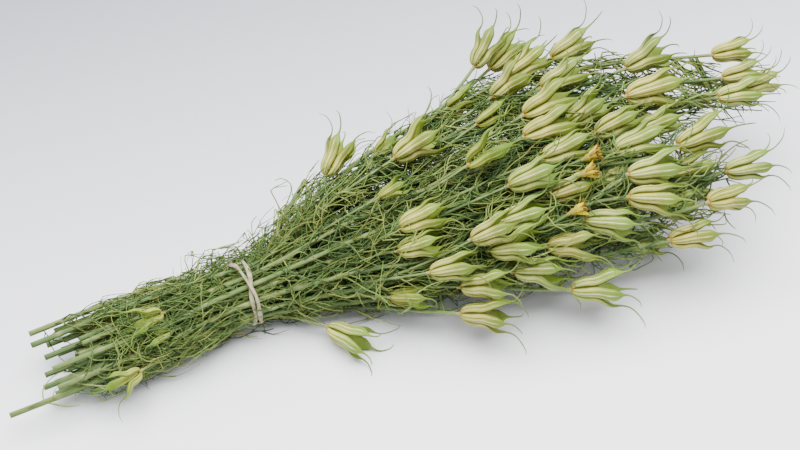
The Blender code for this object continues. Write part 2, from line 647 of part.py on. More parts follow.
class Skin:
    """One closed surface that is grown ring by ring."""

    def __init__(self):
        self.mesh = bmesh.new()

    def add(self, points):
        """Adds points."""
        return [self.mesh.verts.new(point) for point in points]

    def face(self, *corners):
        """Adds a face."""
        self.mesh.faces.new(corners)

    def ring(self, centre, direction, radius, sides, turn=0.0):
        """Adds a regular ring of points square to a direction."""
        level, upright = frame_of(direction)
        angles = [turn + 2 * math.pi * side / sides for side in range(sides)]
        return self.add([centre + radius * (math.cos(a) * level + math.sin(a) * upright) for a in angles])

    def in_step(self, rear, front):
        """The front ring, started at the point that sits in it as the rear ring's first does in its own."""
        middles = [np.mean([corner.co for corner in ring], axis=0) for ring in (rear, front)]
        wanted = rear[0].co[:] + middles[1] - middles[0]
        offsets = [np.linalg.norm(corner.co[:] - wanted) for corner in front]
        first = int(np.argmin(offsets))
        return front[first:] + front[:first]

    def band(self, rear, front):
        """Joins two rings, which may have different numbers of points."""
        i = j = 0
        many, few = len(rear), len(front)
        while i < many or j < few:
            a, b = rear[i % many], front[j % few]
            if many == few:
                i, j = i + 1, j + 1
                self.face(a, rear[i % many], front[j % few], b)
            elif j == few or (i < many and (i + 1) * few <= (j + 1) * many):
                i += 1
                self.face(a, rear[i % many], b)
            else:
                j += 1
                self.face(a, front[j % few], b)

    def fan(self, ring, tip):
        """Closes a ring in a point."""
        end = self.add([tip])[0]
        for side, corner in enumerate(ring):
            self.face(corner, ring[(side + 1) % len(ring)], end)

    def tube(self, root, path, radii):
        """Grows a tube from a face's corners through a path; returns its last ring."""
        last = root
        centre = np.mean([corner.co for corner in root], axis=0)
        for index, (point, radius) in enumerate(zip(path, radii)):
            direction = unit(path[min(index + 1, len(path) - 1)] - centre)
            level, upright = frame_of(direction)
            corners = [np.array(corner.co) - np.mean([other.co for other in last], axis=0) for corner in last]
            angles = np.array([math.atan2(corner @ upright, corner @ level) for corner in corners])
            spread = angles - 2 * math.pi * np.arange(len(last)) / len(last)
            turn = math.atan2(np.sin(spread).sum(), np.cos(spread).sum())
            ring = self.ring(point, direction, radius, len(last), turn)
            self.band(last, ring)
            centre, last = point, ring
        return last

    def thread(self, root, path, radius):
        """Grows a thin tapering thread from a face's corners to the path's last point."""
        radii = [radius * (1 - 0.25 * index) for index in range(len(path) - 1)]
        self.fan(self.tube(root, path[:-1], radii), path[-1])

    def make(self, name, colour, roughness):
        """Makes the Blender object with its own material."""
        data = bpy.data.meshes.new(name)
        self.mesh.to_mesh(data)
        self.mesh.free()
        data.shade_smooth()
        data.set_sharp_from_angle(angle=math.radians(40))
        finish = bpy.data.materials.new(name)
        finish.use_nodes = True
        shader = finish.node_tree.nodes["Principled BSDF"]
        shader.inputs["Base Color"].default_value = (*colour, 1.0)
        shader.inputs["Roughness"].default_value = roughness
        shader.inputs["Metallic"].default_value = 0.0
        data.materials.append(finish)
        made = bpy.data.objects.new(name, data)
        bpy.context.scene.collection.objects.link(made)


def ring_on(skin, strand, travelled, last=None):
    """Adds a strand's ring, its points in step with the last ring's."""
    reach = strand.at(travelled)
    ring = skin.ring(strand.point(reach), strand.direction(reach), strand.radius_at(reach), STEM_SIDES)
    return skin.in_step(last, ring) if last else ring


def bends(strand, done, travelled):
    """Where rings are needed between two others, for the straight tubes to follow the path."""
    between = np.linspace(done, travelled, 9)
    points = [strand.point(strand.at(step)) for step in between]
    chord = points[-1] - points[0]
    offsets = [np.linalg.norm(np.cross(point - points[0], chord)) / np.linalg.norm(chord) for point in points]
    worst = int(np.argmax(offsets))
    if offsets[worst] < STRAIGHTNESS or travelled - done < SHORTEST_TUBE:
        return []
    bend = between[worst]
    return [*bends(strand, done, bend), bend, *bends(strand, bend, travelled)]


def facets(rear, front):
    """The side faces between two rings, each with its outward direction."""
    for side in range(len(rear)):
        after = (side + 1) % len(rear)
        corners = [rear[side], rear[after], front[after], front[side]]
        across, along = corners[2].co - corners[0].co, corners[3].co - corners[1].co
        yield corners, unit(np.cross(across, along))


def facing(sides, direction):
    """Which of some side faces looks most in a direction."""
    return max(range(len(sides)), key=lambda side: sides[side][1] @ direction)


def grow_leaf(skin, strand, ring, travelled, threads):
    """Adds a leaf joint: a short length of stem, some of whose faces grow into threads."""
    fresh = ring_on(skin, strand, travelled + LEAF_FACET, ring)
    sides = list(facets(ring, fresh))
    sprouting = {facing(sides, thread.outwards): thread for thread in threads}
    for side, (corners, _) in enumerate(sides):
        if side in sprouting:
            skin.face(corners[0], corners[1], corners[2])
            skin.thread([corners[0], corners[2], corners[3]], sprouting[side].path, THREAD_RADIUS)
        else:
            skin.face(*corners)
    return fresh


def grow_fork(skin, strand, ring, travelled, branch, heads):
    """Adds a fork: the face that looks towards the branch grows into it."""
    fresh = ring_on(skin, strand, travelled + FORK_FACET, ring)
    sides = list(facets(ring, fresh))
    first = branch.at(branch.begin)
    chosen = facing(sides, branch.point(first) - strand.point(first))
    for side, (corners, _) in enumerate(sides):
        if side != chosen:
            skin.face(*corners)
    root = skin.tube(sides[chosen][0], [branch.point(first)], [branch.radius_at(first)])
    grow_strand(skin, branch, root, heads)
    return fresh


def grow_strand(skin, strand, ring, heads):
    """Grows a strand from its first ring to its head, with its threads and branches."""
    done = strand.begin
    for travelled, growth in [*strand.stops, (strand.length, None)]:
        for step in [*bends(strand, done, travelled), travelled]:
            fresh = ring_on(skin, strand, step, ring)
            skin.band(ring, fresh)
            ring, done = fresh, step
        if isinstance(growth, Strand):
            ring, done = grow_fork(skin, strand, ring, travelled, growth, heads), travelled + FORK_FACET
        elif growth:
            ring, done = grow_leaf(skin, strand, ring, travelled, growth), travelled + LEAF_FACET
    heads[strand.number].grow(skin, ring)


def make_plant(number, strands, heads):
    """One leafy stem with its branches and heads, grown as one skin."""
    skin = Skin()
    main = next(strand for strand in strands if strand.plant == number)
    ring = ring_on(skin, main, 0.0)
    skin.face(*reversed(ring))
    grow_strand(skin, main, ring, heads)
    shade = random.Random(SEED + number).uniform(0.85, 1.15)
    skin.make(f"leafy_stem_{number + 1:02d}", (0.31 * shade, 0.36 * shade, 0.17 * shade), 0.85)


def tie_path(angle):
    """A point of the tie's middle line: it goes round twice and crosses itself once, over the first turn."""
    past = angle - TIE_CROSSING
    wrapped = (past + math.pi) % (2 * math.pi) - math.pi
    over = smooth((math.radians(66) - abs(wrapped)) / math.radians(22)) if past < math.pi else 0.0
    out = TIE_THICKNESS / 2 + over * (TIE_THICKNESS + 0.0003)
    side = (TIE_INNER_WIDTH + out) * math.cos(angle)
    height = TIE_HEIGHT + (TIE_INNER_HEIGHT + out) * math.sin(angle)
    drift = TIE_SPREAD * (math.tanh(3.2 * math.sin(past / 2)) - 1)
    loose = 0.0042 * math.exp(-(((angle - math.radians(48)) / 0.55) ** 2))
    return np.array((drift - loose, side, max(height, TIE_THICKNESS / 2)))


def make_tie():
    """The tie, a flat elastic band stretched twice round the stems."""
    skin = Skin()
    rings = []
    for step in range(TIE_STATIONS):
        angle = TIE_CROSSING - math.pi + 4 * math.pi * step / TIE_STATIONS
        point = tie_path(angle)
        ahead = unit(tie_path(angle + 0.05) - tie_path(angle - 0.05))
        lying = point[2] < TIE_THICKNESS / 2 + 1e-6
        outwards = -UP if lying else np.array((0.0, point[1], point[2] - TIE_HEIGHT))
        outwards = unit(outwards - ahead * (outwards @ ahead))
        half = np.cross(ahead, outwards) * TIE_WIDTH / 2
        thick = outwards * TIE_THICKNESS / 2
        rings.append(skin.add([point - half - thick, point - half + thick, point + half + thick, point + half - thick]))
    for index, ring in enumerate(rings):
        skin.band(ring, rings[(index + 1) % TIE_STATIONS])
    skin.make("tie_band", (0.80, 0.77, 0.68), 0.6)


def main():
    """Builds the whole bunch."""
    for old in list(bpy.data.objects):
        bpy.data.objects.remove(old)
    strands = make_strands()
    heads, crowd = make_heads(strands)
    make_stops(strands, crowd)
    for number in range(strands[-1].plant + 1):
        make_plant(number, strands, heads)
    make_tie()


main()
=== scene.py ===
"""The looks of a tied bunch of dried nigella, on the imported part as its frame."""

import json
import math
import random

import bpy
import numpy as np
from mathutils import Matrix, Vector

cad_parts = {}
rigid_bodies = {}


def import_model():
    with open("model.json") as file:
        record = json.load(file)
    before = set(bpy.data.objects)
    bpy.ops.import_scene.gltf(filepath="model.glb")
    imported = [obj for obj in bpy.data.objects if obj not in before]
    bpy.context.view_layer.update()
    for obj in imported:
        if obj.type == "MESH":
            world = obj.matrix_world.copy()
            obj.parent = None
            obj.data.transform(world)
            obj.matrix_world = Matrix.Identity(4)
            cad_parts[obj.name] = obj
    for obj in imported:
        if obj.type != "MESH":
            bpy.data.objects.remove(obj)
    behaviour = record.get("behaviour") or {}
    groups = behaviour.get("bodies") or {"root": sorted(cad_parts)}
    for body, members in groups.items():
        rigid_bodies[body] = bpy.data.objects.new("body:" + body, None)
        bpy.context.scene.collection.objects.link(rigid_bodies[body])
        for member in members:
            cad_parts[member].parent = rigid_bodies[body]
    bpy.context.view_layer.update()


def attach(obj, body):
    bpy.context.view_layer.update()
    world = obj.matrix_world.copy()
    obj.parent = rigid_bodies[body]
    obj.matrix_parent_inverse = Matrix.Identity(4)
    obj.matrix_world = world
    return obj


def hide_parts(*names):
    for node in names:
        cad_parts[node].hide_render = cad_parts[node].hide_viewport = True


UP = np.array((0.0, 0.0, 1.0))
SEED = 7

# The bunch's outline: reach, half width, half height, sideways middle
OUTLINE = (
    (-0.140, 0.028, 0.012, -0.013),
    (-0.060, 0.028, 0.017, -0.005),
    (-0.012, 0.018, 0.0165, 0.0),
    (0.008, 0.018, 0.0165, 0.0),
    (0.030, 0.033, 0.021, 0.006),
    (0.060, 0.050, 0.026, 0.010),
    (0.120, 0.066, 0.032, 0.012),
    (0.200, 0.074, 0.036, 0.012),
    (0.260, 0.068, 0.035, 0.008),
    (0.310, 0.054, 0.029, 0.002),
    (0.348, 0.048, 0.027, 0.000),
)
STATION_STEP = 0.006
STATIONS = np.arange(-0.150, 0.349, STATION_STEP)
OUTLINE_ROUNDING = 2
ROUNDING_WEIGHTS = np.full(2 * OUTLINE_ROUNDING + 1, 1 / (2 * OUTLINE_ROUNDING + 1))
FLOOR_GAP = 0.0004

# Each plant's heads as reach, clock, depth, size, lift and kind; the first ends the main stem
POD, YOUNG_POD, FLOWER, BARE = "pod", "young pod", "flower", "bare"
PLANTS = (
    ((0.176, 30, 1.15, 1.0, 0.55), (0.061, 32, 0.86, 0.95, 0.9)),
    ((0.165, 34, 1.10, 0.95, 1.1), (0.090, 51, 0.93, 0.65, 0.4, YOUNG_POD)),
    ((0.212, 35, 1.05, 1.0, 0.5), (0.140, 45, 0.98, 0.7, 0.3, YOUNG_POD)),
    ((0.303, 50, 1.12, 0.9, 0.3), (0.182, 42, 1.00, 1.0, 0.5)),
    ((0.243, 65, 1.00, 1.0, 0.7), (0.163, 60, 1.00, 0.95, 0.6)),
    ((0.296, 74, 1.00, 0.85, 0.3), (0.192, 62, 1.00, 1.05, 0.3), (0.097, 71, 0.99, 1.05, 0.3)),
    ((0.310, 70, 0.90, 0.85, 0.2), (0.195, 85, 0.95, 1.0, 0.4)),
    ((0.234, 81, 1.02, 1.2, 0.15), (0.148, 68, 0.97, 0.75, 0.3, YOUNG_POD)),
    ((0.286, 88, 0.97, 0.95, 0.3), (0.174, 78, 1.02, 1.15, 0.15), (0.080, 91, 0.92, 0.65, 0.3, YOUNG_POD)),
    ((0.232, 97, 0.95, 1.0, 0.1), (0.167, 90, 1.02, 1.15, 0.1)),
    ((0.212, 108, 1.00, 1.1, 0.1), (0.130, 96, 0.98, 1.0, 0.8, YOUNG_POD)),
    ((0.207, 97, 0.90, 1.0, 0.15), (0.190, 109, 1.04, 0.9, 0.2, FLOWER)),
    ((0.246, 111, 1.00, 1.1, 0.25), (0.172, 102, 1.00, 1.05, 0.1), (0.183, 118, 1.05, 0.8, 0.2, FLOWER)),
    ((0.211, 128, 1.00, 1.1, 0.0), (0.147, 112, 1.02, 1.05, 0.1)),
    ((0.268, 136, 1.00, 1.0, 0.2), (0.167, 119, 0.98, 0.95, 0.1), (0.084, 115, 0.97, 1.0, 0.1)),
    ((0.238, 127, 0.92, 1.0, 0.1), (-0.050, 130, 1.05, 0.6, 0.0, YOUNG_POD)),
    ((0.195, 124, 0.90, 0.9, 0.0), (0.080, 131, 0.94, 0.9, 0.0)),
    ((0.207, 143, 1.02, 1.05, 0.0), (0.135, 130, 1.00, 1.05, 0.0), (0.172, 131, 1.04, 0.8, 0.2, FLOWER)),
    ((0.250, 151, 0.96, 0.95, 0.1), (0.117, 130, 1.02, 0.95, 0.3)),
    ((0.225, 156, 0.88, 1.0, 0.1), (0.127, 148, 1.01, 1.05, 0.1)),
    ((0.181, 148, 1.02, 1.05, 0.0), (0.092, 154, 0.99, 0.95, 0.1),
     (-0.072, 156, 1.04, 0.75, 0.5, YOUNG_POD)),
    ((0.226, 175, 1.00, 1.0, 0.1), (0.158, 154, 0.98, 1.0, 0.1)),
    ((0.137, 168, 1.00, 1.0, 0.1), (0.070, 181, 0.96, 0.8, 0.1, YOUNG_POD)),
    ((0.165, 190, 1.15, 1.1, 0.15), (0.107, 171, 1.02, 1.0, 0.1)),
    ((0.103, 191, 1.17, 1.0, 0.2), (0.034, 200, 0.97, 1.0, 1.1)),
    ((0.049, 26, 1.18, 1.0, 0.2, BARE), (-0.052, 105, 1.07, 0.8, 0.2, YOUNG_POD)),
)
UNDERSIDE_PLANTS = 4
UNDERSIDE_CLOCKS = (222, 330)
UNDERSIDE_REACHES = (0.185, 0.262)
UNDERSIDE_DEPTH = 0.93
UNDERSIDE_SHIFT = 0.35
UNDERSIDE_LIFT = 0.1
GOLDEN_SHARE = 0.618
GOLDEN_ANGLE = 137.5

# How the stems are dealt out over the bunch's cross-section
LANE_SPREAD = 0.93
LANE_PULL = 0.7
SWAP_GAIN = 1e-9

# Stems and branches
CUT_REACHES = (-0.124, -0.096)
LONGEST_CUT = -0.143
LONGEST_PLANT = 18
STEM_SIDES = 4
STEM_RADIUS = 0.0016
BRANCH_RADIUS = 0.0010
TIP_SHARE = 0.62
BRANCH_LENGTHS = (0.060, 0.079)
FORK_RUN = 0.010
FORK_FACET = 0.0034
HEAD_TURN = 0.09
FORK_SHARE = 0.5
FORK_BEFORE_END = 0.03

# Seed pods: follicles grown together below the split, horned above it
POD_LENGTH = 0.0230
POD_RADIUS = 0.0066
POD_LOBES = {POD: 5, YOUNG_POD: 3}
POD_ROOM = 0.0072
HEAD_ROOMS = {POD: POD_ROOM, YOUNG_POD: 0.9 * POD_ROOM, FLOWER: 0.7 * POD_ROOM, BARE: STEM_RADIUS}
HEAD_RUN = 0.030
HEAD_AIM = 0.9
HEAD_EASE = 0.6
BODY_SPHERES = ((0.14, 0.0050), (0.3, 0.0056), (0.5, 0.0066), (0.7, 0.0060))
HORN_MIDDLE = (0.76, 0.0058)
HORN_TIP = (1.0, 0.0084)
HORN_HEIGHTS = (0.0026, 0.0009, 0.0005, 0.0001)
BEAK_LENGTH = 0.0115
HORN_SPREADS = (0.65, 1.05)
BEAK_SIZES = (0.8, 1.25)
HORN_BENDS = (-0.5, 0.5)
CLOSED_SPREAD = 0.45
HORN_STAND_OFF = 0.0006

# A beak's bend and end: its shares along the pod's axis, outwards and aside
BEAK_BEND = (0.5, 0.30, 0.05)
BEAK_END = (0.36, 0.48, 0.35)

# How far horns and petals open, tried in this order
FLARES = (1.0, 0.75, 0.5, 0.3, 0.1, -0.1, -0.3)

# The room that horns and beaks take, the gaps they keep, and what marks a beak among the owners
HORN_ROOM = 0.0025
HORN_GAP = 0.0006
BEAK_ROOM = 0.0006
BEAK_GAP = 0.0011
BEAK_OWNER = 1000

# Withered flowers
PETALS = 6
PETAL_LENGTH = 0.009
PETAL_RADIUS = 0.0009
FLOWER_RADIUS = 0.0026
FLOWER_CUP = 0.0029
PETAL_SPREADS = (0.2, 1.1)

# Petals: how far out they start, then the shares of their length along and outwards to middle and tip
PETAL_ROOT = 0.55
PETAL_MIDDLE = (0.5, 0.22)
PETAL_TIP = (0.4, 0.4)

# Thread leaves
LEAF_STEP = 0.048
THREADS_PER_LEAF = 2
THREAD_RADIUS = 0.00046
THREAD_LENGTHS = (0.016, 0.034)
THREAD_SHARES = (0.24, 0.38, 0.38)
THREAD_TAPER = (1.0, 0.35)
THREAD_TRIES = 14
THREAD_GAP = 0.00124
THREAD_ROOT_GAP = 0.0003
THREAD_SAMPLES = 18
THREAD_OWNER = 2000
THREAD_LIMIT = 1.12
THREAD_TIE_LIMIT = 0.86
THREAD_FLOOR = 0.0008
FIRST_LEAF = (0.3, 0.7)
LEAF_STEPS = (0.8, 1.3)
LAST_LEAF = 0.012
STOP_GAP = 0.007

# Where a branch counts as clear of its stem
PARTING_TRIES = np.arange(0.009, 0.036, 0.002)
PARTING_GAP = 0.0009

# The tie: a flat band stretched twice round, whose first turn rests flat on the table
TIE_WIDTH = 0.0028
TIE_THICKNESS = 0.0012
TIE_INNER_WIDTH = 0.0180
TIE_INNER_HEIGHT = 0.0165
TIE_FLATTENING = 0.0001
TIE_CLEARANCE = 0.0004
TIE_SPREAD = 0.0018
TIE_CROSSING = math.radians(120)
TIE_OVER = math.radians(66)
TIE_OVER_EASE = math.radians(22)
TIE_OVER_GAP = 0.0003
TIE_STEEPNESS = 3.2
TIE_LOOSE = 0.0042
TIE_LOOSE_PLACE = math.radians(48)
TIE_LOOSE_RUN = 0.55
TIE_HEIGHT = TIE_INNER_HEIGHT + TIE_THICKNESS - TIE_FLATTENING
TIE_RINGS = (-0.015, 0.009)
TIE_HOLD = (-0.019, 0.013)

# How the strands are pushed apart
RELAX_STEPS = 400
LATE_SHARE = 0.6
STRAND_GAP = 0.0014
SWING = 0.2
SWING_RANGE = 2.5
LIE_CLEAR = 0.0002
PULL = 0.02
HEAD_PULL = 0.06
SMOOTHING = 0.22
LATE_SMOOTHING = 0.06

# How far round a piece others are looked for, and how finely its room is marked
CROWD_REACH = 0.014
STEM_MARK_STEP = 0.003
HORN_MARKS = 4
BEAK_MARKS = 9
PETAL_MARKS = 6


def unit(vector):
    """The vector at length one."""
    return vector / np.linalg.norm(vector)


def smooth(share):
    """A share from 0 to 1 that eases in and out."""
    share = np.clip(share, 0.0, 1.0)
    return share * share * (3 - 2 * share)


def frame_of(direction):
    """Two directions square to this one, the first level and the second upwards."""
    level = unit(np.cross(UP, direction))
    return level, np.cross(direction, level)


def samples(corners, count):
    """Points evenly spread along a polyline."""
    corners = np.array(corners)
    travelled = np.concatenate([[0], np.cumsum(np.linalg.norm(np.diff(corners, axis=0), axis=1))])
    wanted = np.linspace(0, travelled[-1], count)
    return np.stack([np.interp(wanted, travelled, corners[:, axis]) for axis in range(3)], axis=-1)


def outline_column(column):
    """One measure of the outline at every station, with the table's corners rounded off."""
    table = np.array(OUTLINE)
    values = np.interp(STATIONS, table[:, 0], table[:, column])
    return np.convolve(np.pad(values, OUTLINE_ROUNDING, mode="edge"), ROUNDING_WEIGHTS, mode="valid")


HALF_WIDTH = outline_column(1)
HALF_HEIGHT = outline_column(2)
MIDDLE = outline_column(3)


def place(reach, clock, depth):
    """Side and height of a place in the bunch; reach may be one number or an array."""
    angle = math.radians(clock)
    side = np.interp(reach, STATIONS, MIDDLE + HALF_WIDTH * depth * math.cos(angle))
    height = np.interp(reach, STATIONS, HALF_HEIGHT * (1 + depth * math.sin(angle)))
    return np.stack([side, height + FLOOR_GAP], axis=-1)


def disc(clock, depth):
    """A place's cross position in a round bunch of radius one."""
    return depth * np.array((math.cos(math.radians(clock)), math.sin(math.radians(clock))))


def seed_heads():
    """Every plant's seed heads: those seen from above, then the ones that the bunch lies on."""
    plants = list(PLANTS)
    low, high = UNDERSIDE_CLOCKS
    near, far = UNDERSIDE_REACHES
    for index in range(UNDERSIDE_PLANTS):
        clock = low + (high - low) * index / (UNDERSIDE_PLANTS - 1)
        reach = near + (far - near) * ((UNDERSIDE_SHIFT + index * GOLDEN_SHARE) % 1)
        plants.append(((reach, clock, UNDERSIDE_DEPTH, 1.0, UNDERSIDE_LIFT),))
    return [[(*head, POD)[:6] for head in heads] for heads in plants]


def lanes(plants):
    """Spreads the main stems like sunflower seeds, and swaps them until each suits its own heads."""
    count = len(plants)
    spots = []
    for index in range(count):
        spots.append(disc(index * GOLDEN_ANGLE, LANE_SPREAD * math.sqrt((index + 0.5) / count)))
    wanted = [LANE_PULL * np.mean([disc(head[1], head[2]) for head in heads], axis=0) for heads in plants]
    misfit = np.array([[np.sum((spot - want) ** 2) for spot in spots] for want in wanted])
    order = list(range(count))
    swapping = True
    while swapping:
        swapping = False
        for a in range(count):
            for b in range(a + 1, count):
                kept = misfit[a, order[a]] + misfit[b, order[b]]
                swapped = misfit[a, order[b]] + misfit[b, order[a]]
                if swapped < kept - SWAP_GAIN:
                    order[a], order[b] = order[b], order[a]
                    swapping = True
    return [spots[spot] for spot in order]


class Strand:
    """A stem or a branch that ends in a head, with its path through the bunch."""

    def __init__(self, number, plant, start, head, parent=None):
        self.number = number
        self.plant = plant
        self.start = start
        self.reach, self.clock, self.depth, self.size, self.lift, self.kind = head
        self.parent = parent
        self.forward = 1 if self.reach > start else -1
        self.radius = STEM_RADIUS if parent is None else BRANCH_RADIUS
        self.room = HEAD_ROOMS[self.kind] * self.size
        self.length = self.along(self.reach)

    def along(self, reach):
        """How far a reach is from the strand's start, counted towards its head."""
        return (reach - self.start) * self.forward

    def at(self, travelled):
        """The reach at a distance from the strand's start."""
        return self.start + travelled * self.forward

    def radius_at(self, reach):
        """The stem's radius, which tapers towards the head unless its end was cut."""
        share = np.clip(self.along(reach) / self.length, 0, 1)
        return self.radius * (1 + (TIP_SHARE - 1) * share * (self.kind != BARE))

    def aim(self, base):
        """Bends a base path so that it ends at the head's place and runs on in the head's direction."""
        beyond = np.maximum(self.along(STATIONS) - self.length, 0)
        to_head = smooth(1 - (self.length - self.along(STATIONS)) / min(HEAD_TURN, self.length))
        outwards = disc(self.clock, 1.0)
        head = place(STATIONS, self.clock, self.depth) + beyond[:, None] * self.lift * outwards
        self.target = base + (head - base) * to_head[:, None]

    def point(self, reach):
        """The point of the strand at a reach."""
        side, height = (np.interp(reach, STATIONS, self.path[:, axis]) for axis in range(2))
        return np.array((reach, side, height))

    def direction(self, reach):
        """The way that the strand runs at a reach, towards its head."""
        step = STATION_STEP * self.forward
        return unit(self.point(reach + step) - self.point(reach - step))

    def head_axis(self):
        """The way that the head points."""
        return unit(self.point(self.at(self.length + HEAD_AIM * POD_LENGTH)) - self.point(self.reach))


def fork_reach(head, length, end):
    """The station where a branch leaves its stem: before the stem's own head and never inside the tie."""
    if head < TIE_RINGS[0]:
        start = min(head + FORK_SHARE * length, TIE_RINGS[0] - FORK_RUN)
    elif head - length > TIE_RINGS[1] + FORK_FACET:
        start = min(head - length, end - FORK_BEFORE_END)
    elif head - TIE_RINGS[1] > 3 * FORK_RUN:
        start = TIE_RINGS[1] + FORK_FACET
    else:
        start = TIE_RINGS[0] - FORK_RUN
    return STATIONS[np.argmin(abs(STATIONS - start))]


def make_strands():
    """Every plant's main stem and branches, kept clear of each other."""
    draw = random.Random(SEED)
    plants = seed_heads()
    strands = []
    for number, (heads, spot) in enumerate(zip(plants, lanes(plants))):
        cut = LONGEST_CUT if number == LONGEST_PLANT else draw.uniform(*CUT_REACHES)
        main = Strand(len(strands), number, cut, heads[0])
        main.aim(place(STATIONS, math.degrees(math.atan2(spot[1], spot[0])), float(np.linalg.norm(spot))))
        strands.append(main)
        for head in heads[1:]:
            start = fork_reach(head[0], draw.uniform(*BRANCH_LENGTHS), main.reach)
            branch = Strand(len(strands), number, start, head, main)
            branch.aim(main.target)
            strands.append(branch)
    relax(strands)
    return strands


def swings(offset, close):
    """How far to turn each pair of strands about each other where they would swap sides."""
    here, there = offset[:, :, :-1], offset[:, :, 1:]
    swapped = (np.sum(here * there, axis=-1) < 0) & close[:, :, :-1] & close[:, :, 1:]
    turn = swapped * np.sign(here[..., 0] * there[..., 1] - here[..., 1] * there[..., 0])
    square = np.stack([-offset[..., 1], offset[..., 0]], axis=-1)
    found = np.zeros_like(offset)
    found[:, :, :-1] += turn[..., None] * square[:, :, :-1]
    found[:, :, 1:] -= turn[..., None] * square[:, :, 1:]
    return found


def relax(strands):
    """Pushes the strands apart at every station, pulls them towards their aims and keeps them smooth."""
    target = np.stack([strand.target for strand in strands])
    path = target.copy()
    along = np.stack([strand.along(STATIONS) for strand in strands])
    length = np.array([strand.length for strand in strands])[:, None]
    at_head = smooth((along - length) / STATION_STEP + HEAD_EASE)
    active = (along > -STATION_STEP) & (along < length + HEAD_RUN)
    stem = np.stack([strand.radius_at(STATIONS) for strand in strands])
    room = np.array([strand.room for strand in strands])[:, None]
    radius = stem + (room - stem) * at_head
    lowest = radius * (1 - (1 - POD_RADIUS / POD_ROOM) * at_head) + LIE_CLEAR
    owner = np.array([strand.plant for strand in strands])
    forks = {strand.number: strand.parent.number for strand in strands if strand.parent}
    is_branch = np.array([strand.parent is not None for strand in strands])[:, None]
    past_fork = np.where(is_branch, along, 1.0)
    near_fork = np.clip(np.minimum(past_fork[:, None], past_fork[None, :]) / FORK_RUN, 0, 1)
    same_plant = (owner[:, None] == owner[None, :])[:, :, None]
    need = (radius[:, None] + radius[None, :] + STRAND_GAP) * np.where(same_plant, near_fork, 1.0)
    apart = active[:, None] & active[None, :] & ~np.eye(len(strands), dtype=bool)[:, :, None]
    share = radius[None, :] ** 2 / (radius[:, None] ** 2 + radius[None, :] ** 2)
    in_tie = ((STATIONS > TIE_HOLD[0]) & (STATIONS < TIE_HOLD[1]))[None, :]
    tie_middle = np.array((0.0, TIE_HEIGHT))
    spans = (TIE_INNER_WIDTH, TIE_INNER_HEIGHT)
    inside = np.stack([span - TIE_CLEARANCE - radius for span in spans], axis=-1)
    for step in range(RELAX_STEPS):
        late = step > LATE_SHARE * RELAX_STEPS
        offset = path[:, None] - path[None, :]
        distance = np.maximum(np.linalg.norm(offset, axis=-1), 1e-6)
        push = np.maximum(need - distance, 0) * apart
        path += np.sum(offset * (0.5 * push * share / distance)[..., None], axis=1)
        close = (distance < SWING_RANGE * need) & apart & ~same_plant
        path += SWING * np.sum(swings(offset, close) * share[..., None], axis=1)
        if not late:
            path += (PULL + (HEAD_PULL - PULL) * at_head)[..., None] * (target - path)
        inner = path[:, 1:-1]
        bend = 0.5 * (path[:, :-2] + path[:, 2:]) - inner
        path[:, 1:-1] = inner + (LATE_SMOOTHING if late else SMOOTHING) * bend
        path[..., 1] = np.maximum(path[..., 1], lowest)
        reached = np.linalg.norm((path - tie_middle) / inside, axis=-1)
        back = np.where(in_tie & (reached > 1) & active, reached, 1.0)
        path = tie_middle + (path - tie_middle) / back[..., None]
        for branch, parent in forks.items():
            fork = int(np.argmin(abs(STATIONS - strands[branch].start)))
            path[branch, fork] = path[parent, fork]
    for strand, found in zip(strands, path):
        strand.path = found


class Crowd:
    """Points with a radius and an owner, which says whether a new piece would touch what is there."""

    def __init__(self):
        self.points = np.zeros((0, 3))
        self.radii = np.zeros(0)
        self.owners = np.zeros(0, int)

    def add(self, points, radii, owner):
        """Adds a row of points; radii may be one number."""
        self.points = np.concatenate([self.points, points])
        self.radii = np.concatenate([self.radii, np.broadcast_to(radii, len(points))])
        self.owners = np.concatenate([self.owners, np.full(len(points), owner)])

    def clear(self, points, radius, gap, skip=()):
        """Whether a row of points of this radius keeps the gap to everything but the owners skipped."""
        low, high = points.min(0) - CROWD_REACH, points.max(0) + CROWD_REACH
        near = np.all((self.points > low) & (self.points < high), axis=1)
        near &= ~np.isin(self.owners, skip)
        if not near.any():
            return True
        distance = np.linalg.norm(points[:, None] - self.points[near][None], axis=-1)
        return (distance - self.radii[near][None]).min() > radius + gap


class Head:
    """What every head has: where it sits on its strand and which way it points."""

    def __init__(self, strand):
        self.strand = strand
        self.base = strand.point(strand.reach)
        self.axis = strand.head_axis()
        self.level, self.upright = frame_of(self.axis)
        self.size = strand.size
        self.turn = 0.0

    def outwards(self, angle):
        """The direction square to the axis at an angle round it."""
        return math.cos(angle + self.turn) * self.level + math.sin(angle + self.turn) * self.upright

    def settle(self, crowd):
        """A cut end needs no room of its own."""


